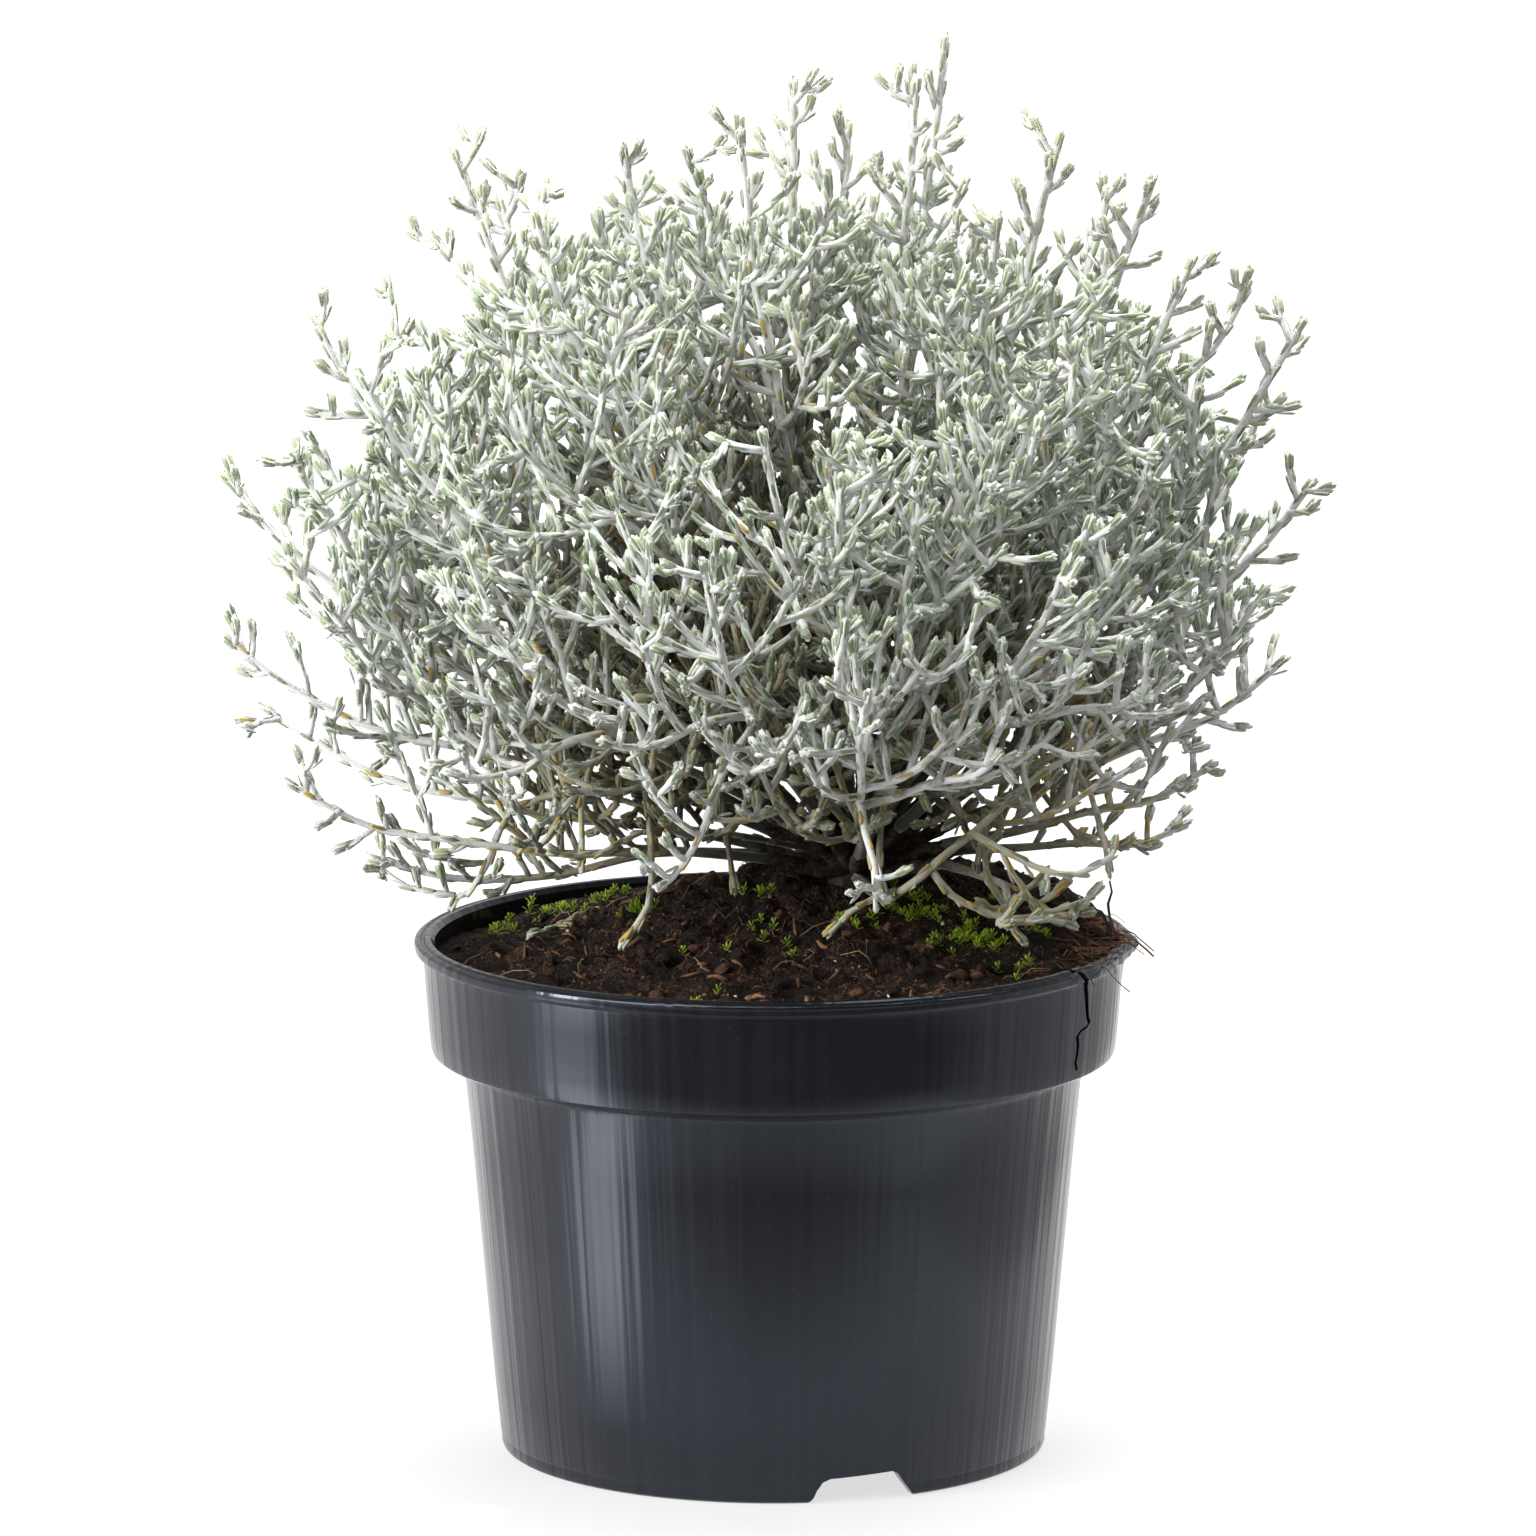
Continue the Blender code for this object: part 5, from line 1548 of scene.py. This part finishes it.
def gnarl(crown):
    """Finer faces with knots and furrows pushed into the wood."""
    work_on(crown)
    finer = crown.modifiers.new("finer", "SUBSURF")
    finer.levels = 1
    finer.render_levels = 1
    bpy.ops.object.modifier_apply(modifier=finer.name)
    count = len(crown.data.vertices) * 3
    points, ways = np.empty(count), np.empty(count)
    crown.data.vertices.foreach_get("co", points)
    crown.data.vertices.foreach_get("normal", ways)
    points, ways = points.reshape(-1, 3), ways.reshape(-1, 3)
    push = [sum(noise.noise(Vector(point) * scale) * depth for scale, depth in BARK_KNOTS)
            for point in points]
    points += ways * np.array(push)[:, None] * MM
    crown.data.vertices.foreach_set("co", points.ravel())
    crown.data.update()


# Pot

def beside(radius, height, *steps):
    """Rings beside a radius and a height, each so many mm out and up."""
    return [(radius + out * MM, height + up * MM) for out, up in steps]


def pot_rings():
    """Radius and height of each ring of the pot's wall, from the lip's top down the outside,
    under the foot and up the inside."""
    ring_inner = FOOT_RADIUS - FOOT_RING_WIDTH
    band_top = LIP_FOOT - 2.0 * MM
    band_fall = BAND_FOOT_HEIGHT + 2.2 * MM - LIP_FOOT
    return [
        *beside(LIP_INNER_RADIUS, POT_HEIGHT, (1.1, -0.1), (1.9, 0.0), (2.5, -0.15), (2.9, -0.75),
                (3.4, -0.8), (3.8, -0.35)),
        *beside(LIP_RADIUS, POT_HEIGHT, (-0.9, -0.45), (-0.2, -0.95), (0.0, -1.7)),
        *beside(LIP_RADIUS, LIP_FOOT, (-0.25, 0.4), (-1.0, -0.1)),
        *beside(BAND_TOP_RADIUS, LIP_FOOT, (1.2, -0.35), (0.25, -0.9), (0.0, -2.0)),
        *[(BAND_TOP_RADIUS + (BAND_FOOT_RADIUS - BAND_TOP_RADIUS) * share,
           band_top + band_fall * share) for share in (0.25, 0.5, 0.75)],
        *beside(BAND_FOOT_RADIUS, BAND_FOOT_HEIGHT, (0.0, 1.9), (-0.4, 0.7), (-1.6, -0.1)),
        *beside(BODY_TOP_RADIUS, BODY_TOP, (2.6, 0.9), (0.7, -0.1), (0.1, -1.4)),
        *[(BODY_TOP_RADIUS + (FOOT_RADIUS - BODY_TOP_RADIUS) * share, BODY_TOP * (1.0 - share))
          for share in (0.2, 0.4, 0.6, 0.8)],
        *beside(FOOT_RADIUS, FOOT_ROUNDING, (0.1, 2.4), (-0.15, 2.0), (-0.1, 0.0)),
        (FOOT_RADIUS - FOOT_ROUNDING * 0.35, FOOT_ROUNDING * 0.3),
        (FOOT_RADIUS - FOOT_ROUNDING * 0.8, 0.0),
        (ring_inner, 0.0),
        (ring_inner, FLOOR_UNDERSIDE),
        (ring_inner * 0.5, FLOOR_UNDERSIDE),
        (FLOOR_MIDDLE, FLOOR_UNDERSIDE),
        (FLOOR_MIDDLE, FLOOR_TOP),
        (inner_radius(FLOOR_TOP), FLOOR_TOP),
        (BODY_TOP_RADIUS - WALL, BODY_TOP + 0.6 * MM),
        (BAND_FOOT_RADIUS - WALL - 0.6 * MM, BAND_FOOT_HEIGHT + WALL),
        (LIP_INNER_RADIUS, POT_HEIGHT - 1.4 * MM),
    ]


def inner_radius(height):
    """Radius of the pot's inner wall below the step."""
    return FOOT_RADIUS + (BODY_TOP_RADIUS - FOOT_RADIUS) * (height / BODY_TOP) - WALL


def drawn_body(name, rings, segments):
    """A round wall drawn from its first ring by extruding and scaling ring after ring."""
    start_clean()
    radius, height = rings[0]
    bpy.ops.mesh.primitive_circle_add(vertices=segments, radius=radius, location=(0, 0, 0))
    body = take(name)
    with editing(body):
        bpy.ops.transform.translate(value=(0.0, 0.0, height))
        for next_radius, next_height in rings[1:]:
            bpy.ops.mesh.extrude_region_move(
                TRANSFORM_OT_translate={"value": (0.0, 0.0, next_height - height)})
            scale = next_radius / radius
            bpy.ops.transform.resize(value=(scale, scale, 1.0))
            radius, height = next_radius, next_height
    return body


def prism(name, outline, depth):
    """A flat outline in X and Z, drawn point after point and given a depth along Y."""
    start_clean()
    bpy.ops.mesh.primitive_circle_add(vertices=len(outline), radius=1.0, fill_type="NGON",
                                      location=(0, 0, 0))
    made = take(name)
    for vertex, (across, up) in zip(made.data.vertices, outline):
        vertex.co = (across, -depth / 2, up)
    with editing(made):
        bpy.ops.mesh.extrude_region_move(TRANSFORM_OT_translate={"value": (0.0, depth, 0.0)})
        turn_outwards()
    return made


def notch_outline():
    """A drainage notch: wide at the table, narrower at the top, one flank steeper."""
    half_foot = NOTCH_FOOT_WIDTH / 2
    half_top = NOTCH_TOP_WIDTH / 2
    return (
        (-half_foot, -NOTCH_BELOW),
        (half_foot, -NOTCH_BELOW),
        (half_foot, 0.0),
        (half_top + 3.0 * MM, NOTCH_HEIGHT * 0.52),
        (half_top + 1.0 * MM, NOTCH_HEIGHT * 0.9),
        (half_top - 0.5 * MM, NOTCH_HEIGHT),
        (-half_top - 0.6 * MM, NOTCH_HEIGHT * 0.88),
        (-half_top - 2.6 * MM, NOTCH_HEIGHT * 0.76),
        (-half_foot + 2.2 * MM, NOTCH_HEIGHT * 0.5),
        (-half_foot + 1.0 * MM, NOTCH_HEIGHT * 0.16),
        (-half_foot, 0.0),
    )


def crack_outline():
    """A zigzag slit, widest at the lip and gaping more sideways than up and down."""
    line = np.array(CRACK_LINE) * MM
    ways = np.gradient(line, axis=0)
    ways /= np.linalg.norm(ways, axis=1)[:, None]
    taper = np.linspace(*CRACK_TAPER, len(line))[:, None]
    aside = np.stack((ways[:, 1], -ways[:, 0]), axis=1) * np.array(CRACK_SPREAD) * taper
    return [tuple(point) for point in np.vstack((line + aside, (line - aside)[::-1]))]


def stand_at(obj, angle, radius):
    """Turn a prism across the radius at an angle round the pot."""
    obj.rotation_euler = (0.0, 0.0, angle + math.pi / 2)
    obj.location = (radius * math.cos(angle), radius * math.sin(angle), 0.0)
    set_down(obj)


def carve(body, cutter):
    """Cut one closed shape out of another and drop the cutter."""
    work_on(body)
    cut = body.modifiers.new("cut", "BOOLEAN")
    cut.operation = "DIFFERENCE"
    cut.solver = "EXACT"
    cut.object = cutter
    bpy.ops.object.modifier_apply(modifier=cut.name)
    bpy.data.objects.remove(cutter, do_unlink=True)


def tear_angle(co):
    """How far round from the crack a point stands."""
    return math.atan2(co.y, co.x) - CRACK_ANGLE


def tear_lip(pot):
    """The ragged lip beside the crack: gaping at the slit, crumpled and flared beyond it."""
    with editing(pot):
        bpy.ops.mesh.select_mode(type="VERT")
        pick(lambda co: co.z > POT_HEIGHT - TEAR_DROP * TEAR_CUT_DEPTH
             and TEAR_START < tear_angle(co) < TEAR_END)
        bpy.ops.mesh.subdivide(number_cuts=2)
    gape_width, gape_push = TEAR_GAPE
    flap_place, flap_width, flap_push = TEAR_FLAP
    coarse, fine = TEAR_SCALES
    for vertex in pot.data.vertices:
        angle = tear_angle(vertex.co)
        depth = (POT_HEIGHT - vertex.co.z) / TEAR_DROP
        if depth > 1.0 or not 0.0 < angle < TEAR_END:
            continue
        fade = (1.0 - depth) ** 2
        gape = math.exp(-(angle / gape_width) ** 2) * gape_push
        flap = math.exp(-((angle - flap_place) / flap_width) ** 2) * flap_push
        ends = math.sin(math.pi * angle / TEAR_END)
        ragged = noise.noise(vertex.co * coarse) + 0.5 * noise.noise(vertex.co * fine)
        out = Vector((vertex.co.x, vertex.co.y, 0.0)).normalized()
        rise = noise.noise(vertex.co * TEAR_RISE_SCALE + TEAR_RISE_SHIFT)
        vertex.co += out * (gape + flap + ragged * TEAR_CRUMPLE * ends) * fade
        vertex.co += Vector((0.0, 0.0, rise * TEAR_CRUMPLE * ends - flap * FLAP_SAG)) * fade


def make_drain(angle):
    """The cylinder that cuts one drainage hole."""
    start_clean()
    bpy.ops.mesh.primitive_cylinder_add(
        vertices=DRAIN_SIDES, radius=DRAIN_RADIUS, depth=DRAIN_DEPTH,
        location=(DRAIN_CIRCLE * math.cos(angle), DRAIN_CIRCLE * math.sin(angle), FLOOR_TOP))
    drain = take("drain")
    set_down(drain)
    return drain


def make_pot(material):
    """The pot's wall and floor with its notches, its drainage holes and its torn rim."""
    pot = drawn_body("nursery_pot", pot_rings(), POT_SEGMENTS)
    with editing(pot):
        pick_rims()
        bpy.ops.mesh.bridge_edge_loops()
        turn_outwards()
    for number in range(NOTCH_COUNT):
        notch = prism("notch", notch_outline(), NOTCH_DEPTH)
        stand_at(notch, NOTCH_FIRST_ANGLE + number * math.tau / NOTCH_COUNT, FOOT_RADIUS)
        carve(pot, notch)
    crack = prism("crack", crack_outline(), CRACK_DEPTH)
    stand_at(crack, CRACK_ANGLE, BAND_TOP_RADIUS)
    carve(pot, crack)
    for number in range(DRAIN_COUNT):
        carve(pot, make_drain(DRAIN_FIRST_ANGLE + number * math.tau / DRAIN_COUNT))
    tear_lip(pot)
    work_on(pot)
    bpy.ops.object.shade_smooth_by_angle(angle=SMOOTH_BELOW)
    make_piece(pot, material, "pot_plastic", "pot")


# Soil and what lies on it

def rough_height(x, y):
    """The soil's surface with its clods and crumbs."""
    reach = math.hypot(x, y)
    place = Vector((x, y, 0.0))
    clods = noise.fractal(place * 55.0, 0.9, 2.1, 3) * CLOD_HEIGHT
    crumbs = noise.fractal(place * 210.0, 0.8, 2.2, 4) * CRUMB_HEIGHT
    pits = max(0.0, noise.noise(place * 120.0 + Vector((7.0, 3.0, 1.0)))) * -PIT_DEPTH
    ease = min(1.0, max(SMOOTHEST_SOIL, (LIP_INNER_RADIUS - reach) / SOIL_EASE))
    return soil_height(x, y) + (clods + crumbs + pits) * MM * ease


def make_soil(material):
    """The soil from the middle of its rough top out to the wall, down and under."""
    edge = BAND_FOOT_RADIUS - WALL + 0.3 * MM
    rings = [(edge * ring / SOIL_RINGS, SOIL_EDGE_HEIGHT) for ring in range(1, SOIL_RINGS + 1)]
    rings += [
        (BAND_FOOT_RADIUS - WALL - 1.2 * MM, BAND_FOOT_HEIGHT + WALL + 0.6 * MM),
        (BODY_TOP_RADIUS - WALL - 1.4 * MM, BODY_TOP + 0.9 * MM),
        (inner_radius(FLOOR_TOP) - 1.2 * MM, FLOOR_TOP + FIT_GAP),
        (2.0 * MM, FLOOR_TOP + FIT_GAP),
    ]
    soil = drawn_body("peat_fill", rings, SOIL_SEGMENTS)
    with editing(soil):
        pick_rims()
        bpy.ops.mesh.edge_face_add()
        bpy.ops.mesh.fill_holes(sides=0)
        turn_outwards()
    for vertex in soil.data.vertices:
        if vertex.co.z > SOIL_EDGE_HEIGHT - 0.5 * MM:
            vertex.co.z = rough_height(vertex.co.x, vertex.co.y)
    for polygon in soil.data.polygons:
        polygon.use_smooth = True
    make_piece(soil, material, "peat_soil", "soil")


def crumb_shape(fineness):
    """One angular crumb, modelled once and copied: a spike when coarse, a lump when fine."""
    start_clean()
    if fineness:
        bpy.ops.mesh.primitive_ico_sphere_add(subdivisions=fineness, radius=1.0,
                                              location=(0, 0, 0))
    else:
        bpy.ops.mesh.primitive_cone_add(vertices=4, radius1=1.0, radius2=0.0,
                                        depth=SPIKE_HEIGHT, location=(0, 0, 0))
    crumb = take("crumb_pattern")
    with editing(crumb):
        bpy.ops.transform.vertex_random(offset=CRUMB_JITTER / max(1, fineness), seed=3)
    points, faces = arrays_of(crumb.data)
    bpy.data.objects.remove(crumb, do_unlink=True)
    return points, faces, np.zeros(len(points))


def random_frame(draw):
    """Two directions at right angles, turned any way."""
    along = unit(np.array([draw.gauss(0.0, 1.0) for _ in range(3)]))
    return along, turned(*across_of(along), draw.uniform(0.0, math.tau))


def on_soil(draw, margin=SOIL_MARGIN):
    """A random place on the soil's top, a margin in from the lip."""
    radius = (LIP_INNER_RADIUS - margin) * math.sqrt(draw.random())
    angle = draw.uniform(0.0, math.tau)
    x, y = radius * math.cos(angle), radius * math.sin(angle)
    return np.array((x, y, rough_height(x, y)))


def make_crumbs(material, name, count, sizes, tones, seed, fineness, squash):
    """Loose grains scattered over the soil, each half sunk in it."""
    draw = random.Random(seed)
    grains = Foliage(crumb_shape(fineness))
    for _ in range(count):
        place = on_soil(draw)
        size = draw.uniform(*sizes)
        along, out = random_frame(draw)
        shape = (size, size * draw.uniform(*squash), size * draw.uniform(*squash))
        place[2] += size * CRUMB_RISE
        grains.add(place, along, out, shape, (0.0, draw.uniform(*tones), 0.0))
    points, faces, marks = grains.arrays()
    mesh = mesh_from(name, points, faces, {"tone": marks["tone"]}, smooth=False)
    make_piece(put_in_scene(name, mesh), material, "peat_soil")


def wander(draw, x, y, heading, bend, length, count):
    """Places along a thread that changes its heading at every step."""
    for _ in range(count):
        yield x, y
        heading += draw.uniform(-bend, bend)
        x += math.cos(heading) * length / count
        y += math.sin(heading) * length / count


def fibre_line(draw, start, heading, length, lift):
    """A thin root that wanders over the soil and rises in the middle."""
    points = []
    for number, (x, y) in enumerate(wander(draw, start[0], start[1], heading, FIBRE_BEND, length,
                                           FIBRE_KNOTS)):
        arch = math.sin(math.pi * (number / (FIBRE_KNOTS - 1)))
        points.append((x, y, rough_height(x, y) + lift * arch - FIBRE_SINK))
    return np.array(points)


def make_fibres(material, profile, name, count, lengths, radii, lift, seed):
    """Fine roots and peat threads over the soil."""
    draw = random.Random(seed)
    lines = []
    for _ in range(count):
        line = fibre_line(draw, on_soil(draw), draw.uniform(0.0, math.tau),
                          draw.uniform(*lengths), draw.uniform(*lift))
        line = line[np.hypot(line[:, 0], line[:, 1]) < LIP_INNER_RADIUS - FIBRE_MARGIN]
        if len(line) < 3:
            continue
        taper = 0.35 + 0.65 * np.sin(np.linspace(0.25, 2.9, len(line)))
        lines.append((line, draw.uniform(*radii) * taper))
    fibre_piece(name, lines, material, profile)


def make_straws(material, profile):
    """Short bits of bark and straw lying flat on the soil."""
    draw = random.Random(STRAW_SEED)
    lines = []
    for _ in range(STRAW_COUNT):
        start = on_soil(draw, STRAW_MARGIN)
        heading = draw.uniform(0.0, math.tau)
        step = np.array((math.cos(heading), math.sin(heading))) * draw.uniform(*STRAW_STEP) * MM
        places = [start[:2] + step * number for number in range(3)]
        line = [(x, y, rough_height(x, y) + STRAW_RISE) for x, y in places]
        thick = draw.uniform(*STRAW_RADIUS) * MM
        lines.append((np.array(line), thick * np.array(STRAW_TAPER)))
    fibre_piece("bark_straws", lines, material, profile)


def fibre_piece(name, lines, material, profile):
    """Threads as one piece, each part of it lighter or darker than the next."""
    points, faces = rods(lines, profile)
    tone = np.array([noise.noise(Vector(point) * 45.0) * 0.8 + 0.5 for point in points])
    mesh = mesh_from(name, points, faces, {"tone": tone})
    make_piece(put_in_scene(name, mesh), material, "peat_soil")


def make_moss(material, pattern):
    """Star-shaped moss tufts in loose patches."""
    draw = random.Random(MOSS_SEED)
    moss = Foliage(pattern)
    for centre_x, centre_y, spread, count in MOSS_PATCHES:
        for _ in range(count):
            x = (centre_x + draw.gauss(0.0, spread * 0.5)) * MM
            y = (centre_y + draw.gauss(0.0, spread * 0.5)) * MM
            if math.hypot(x, y) > LIP_INNER_RADIUS - SOIL_MARGIN:
                continue
            moss_tuft(moss, draw, np.array((x, y, rough_height(x, y) - MOSS_SINK)))
    points, faces, marks = moss.arrays()
    mesh = mesh_from("moss_tufts", points, faces, {"tone": marks["tone"], "felt": marks["felt"]})
    make_piece(put_in_scene("moss_tufts", mesh), material, "peat_soil")


def moss_tuft(moss, draw, foot):
    """One tuft: leaves round a short stalk, spread wide at its foot and closer at its top."""
    height = draw.uniform(*MOSS_HEIGHT) * MM
    tone = draw.uniform(*MOSS_TONE)
    up = np.array((0.0, 0.0, 1.0))
    for number in range(MOSS_LEAVES):
        share = number / (MOSS_LEAVES - 1)
        lift = math.radians(draw.uniform(*MOSS_LIFT) + MOSS_SPREAD * (1.0 - share))
        angle = number * GOLDEN_ANGLE + draw.uniform(-MOSS_TURN_SPREAD, MOSS_TURN_SPREAD)
        side = np.array((math.cos(angle), math.sin(angle), 0.0))
        size = (MOSS_LEAF_WIDTH, MOSS_LEAF_THICKNESS, draw.uniform(*MOSS_LEAF_LENGTH) * MM)
        # Painted shade: the lower leaves of a tuft take a darker tone
        moss.add(foot + up * height * share, turned(up, side, lift),
                 up * math.sin(lift) - side * math.cos(lift), size,
                 (0.0, tone * (0.55 + 0.45 * share), 0.0))


def spilled_lines(draw):
    """Root fibres that hang over the torn lip at the right, and one that stands up there."""
    lines = [(np.array(STANDING_FIBRE) * MM, np.array(STANDING_RADII) * MM)]
    for _ in range(SPILLED_FIBRES):
        angle = math.radians(draw.gauss(*SPILL_ANGLE))
        radius = draw.uniform(*SPILL_RADIUS) * MM
        heading = angle + draw.gauss(0.0, SPILL_FAN)
        length = draw.uniform(*SPILL_LENGTH) * MM
        points = []
        for x, y in wander(draw, radius * math.cos(angle), radius * math.sin(angle), heading,
                           SPILL_BEND, length, SPILL_KNOTS):
            reach = math.hypot(x, y)
            ground = rough_height(x, y) if reach < SPILL_LIP else POT_HEIGHT + 0.2 * MM
            fall = max(0.0, reach - SPILL_EDGE) * SPILL_FALL
            points.append((x, y, max(ground, SPILL_LEAST_HEIGHT) + SPILL_RISE - fall))
        thick = draw.uniform(*SPILL_THICKNESS) * MM
        lines.append((np.array(points), np.full(SPILL_KNOTS, thick)))
    return lines


def make_fallen_twig(pattern, profile, material):
    """The shed silver shoot that lies on the soil at the left, with its one side shoot."""
    first, last = np.array(FALLEN_ENDS) * MM
    side = unit(np.array((last[1] - first[1], first[0] - last[0])))
    points = []
    for number in range(FALLEN_KNOTS):
        share = number / (FALLEN_KNOTS - 1)
        x, y = (first + (last - first) * share
                + side * FALLEN_BOW * MM * math.sin(math.pi * share))
        points.append((x, y, soil_height(x, y) + FALLEN_RISE))
    points = np.array(points)
    fork = [points[3], *(points[2] + np.array(FALLEN_FORK) * MM)]
    shoots = [Shoot(number, 0, 3, np.array(places), [FALLEN_RADIUS] * len(places))
              for number, places in enumerate((points[::-1], fork))]
    make_foliage("fallen_silver_twig", shoots, pattern, profile, material, ("fallen_twig",),
                 FALLEN_SEED)


def make_low_sprays(pattern, profile, material):
    """The thin low shoots that hang in front of the soil and over the lip."""
    shoots = []
    for number, (level, places) in enumerate(LOW_SHOOTS):
        points = np.array(places) * MM
        shoots.append(Shoot(number, 0, level, points, [LOW_SHOOT_RADIUS] * len(points)))
    make_foliage("low_silver_sprays", shoots, pattern, profile, material, (), LOW_SEED)


# Studio

def make_camera():
    """The camera at the photograph's place, pitch and field of view."""
    data = bpy.data.cameras.new("photo_camera")
    data.sensor_width = SENSOR_WIDTH
    data.lens = FOCAL_PIXELS * SENSOR_WIDTH / PHOTO_PIXELS
    data.clip_start = 0.1
    data.clip_end = 50.0
    camera = put_in_scene("photo_camera", data)
    camera.location = (CAMERA_SHIFT_LEFT, -CAMERA_DISTANCE, CAMERA_HEIGHT)
    camera.rotation_euler = (math.pi / 2 - CAMERA_PITCH, 0.0, 0.0)
    bpy.context.scene.camera = camera


def make_light(name, place, target, size, power):
    """A soft rectangular lamp that faces its target."""
    data = bpy.data.lights.new(name, "AREA")
    data.shape = "RECTANGLE"
    data.size, data.size_y = size
    data.energy = power
    light = put_in_scene(name, data)
    light.location = place
    way = Vector(target) - Vector(place)
    light.rotation_euler = way.to_track_quat("-Z", "Y").to_euler()


def make_floor():
    """A pale floor that glows and runs on far behind the pot, with a painted pool of light to its
    left and painted shade in front of the pot and at its sides.
    """
    finish = Finish("studio_white", roughness=0.9, specular_ior_level=0.1,
                    emission_strength=1.0)
    cloudy = finish.noise(finish.place(), 1.5, 2.0)
    x, y, _ = finish.axes()
    aside = x / (y + CAMERA_DISTANCE)
    # Painted shade: within the reach the floor is dark in front of the pot and dimmer at its sides
    left = (aside * -1.0).between(*SIDE_SHADE_START) * LEFT_SIDE_SHADE
    right = aside.between(*SIDE_SHADE_START) * RIGHT_SIDE_SHADE
    behind = y.between(*FLOOR_SHADE) * (1.0 - left - right)
    near = 1.0 - (x * x + y * y).math("SQRT").between(*SHADE_REACH)
    open_floor = 1.0 - (1.0 - behind) * near
    slant = (y - POOL_PLACE[1]) / (x - POOL_PLACE[0])
    reach = POOL_PLACE[0] - x
    pool = slant.between(*POOL_SIDES[0]) * (1.0 - slant.between(*POOL_SIDES[1]))
    ends = reach.between(*POOL_ENDS[0]) * (1.0 - reach.between(*POOL_ENDS[1]))
    lit = pool * ends * POOL_GLOW
    near_glow, far_glow = FLOOR_GLOW
    glow = y.between(*FLOOR_FADE) * (far_glow - near_glow) + near_glow
    paper = finish.mix(open_floor, PAINTED_SHADE_PAPER, finish.mix(cloudy, *PAPER))
    finish.paint(base_color=paper, emission_color=glow * open_floor + lit)
    start_clean()
    bpy.ops.mesh.primitive_plane_add(size=FLOOR_SIZE, location=(0.0, 0.0, -FLOOR_DROP))
    floor = take("studio_floor")
    set_down(floor)
    floor.data.materials.append(finish.material)


def make_world():
    """Soft white surroundings, dimmer on the side where the camera stands."""
    world = bpy.data.worlds.new("studio")
    bpy.context.scene.world = world
    world.use_nodes = True
    tree = world.node_tree
    place = tree.nodes.new("ShaderNodeTexCoord")
    parts = tree.nodes.new("ShaderNodeSeparateXYZ")
    shade = tree.nodes.new("ShaderNodeMapRange")
    for socket, value in (("From Min", -1.0), ("From Max", 1.0), ("To Min", FRONT_DIM),
                          ("To Max", BACK_BRIGHT)):
        shade.inputs[socket].default_value = value
    tree.links.new(place.outputs["Generated"], parts.inputs[0])
    tree.links.new(parts.outputs["Y"], shade.inputs["Value"])
    tree.links.new(shade.outputs["Result"], tree.nodes["Background"].inputs["Strength"])
    tree.nodes["Background"].inputs["Color"].default_value = (1.0, 1.0, 1.0, 1.0)


def make_studio():
    """Camera, floor, surroundings and lamps."""
    make_camera()
    make_floor()
    make_world()
    for light in LIGHTS:
        make_light(*light)
    view = bpy.context.scene.view_settings
    view.view_transform = "Standard"
    view.look = "None"


def make_plant(pattern, stem_ring):
    """The leafy stems, the woody crown, the low sprays and the shed twig."""
    silver = silver_leaf()
    trunk_ring = ring_profile("trunk_ring", TRUNK_SIDES)
    bush = Bush()
    bush.grow()
    for stem in range(len(STEM_TIPS)):
        mine = [shoot for shoot in bush.shoots if shoot.stem == stem]
        make_foliage("silver_stem_%02d" % (stem + 1), mine, pattern, stem_ring, silver,
                     ("leafy_stem_%02d" % (stem + 1),), FIRST_STEM_SEED + stem)
    make_crown(bush, trunk_ring, bark())
    make_low_sprays(pattern, stem_ring, silver)
    make_fallen_twig(pattern, stem_ring, silver)
    bpy.data.objects.remove(trunk_ring, do_unlink=True)


def make_ground(pattern, stem_ring):
    """The soil and all that lies on it."""
    thread_ring = ring_profile("thread_ring", THREAD_SIDES)
    soil = peat()
    make_soil(soil)
    for row in GRAINS:
        make_crumbs(soil, *row)
    make_crumbs(toned("perlite", *PERLITE), *PERLITE_GRAINS)
    thread = toned("root_thread", *ROOT_THREAD)
    make_fibres(thread, thread_ring, *PEAT_THREADS)
    make_fibres(toned("pale_root", *PALE_ROOT), thread_ring, *PALE_ROOTS)
    fibre_piece("spilled_fibres", spilled_lines(random.Random(SPILL_SEED)), thread, thread_ring)
    make_straws(toned("straw", *STRAW), stem_ring)
    make_moss(moss_green(), pattern)
    bpy.data.objects.remove(thread_ring, do_unlink=True)


def main():
    make_studio()
    pattern = leaf_shape()
    stem_ring = ring_profile("stem_ring", RING_SIDES)
    make_plant(pattern, stem_ring)
    make_pot(pot_plastic())
    make_ground(pattern, stem_ring)
    bpy.data.objects.remove(stem_ring, do_unlink=True)


main()
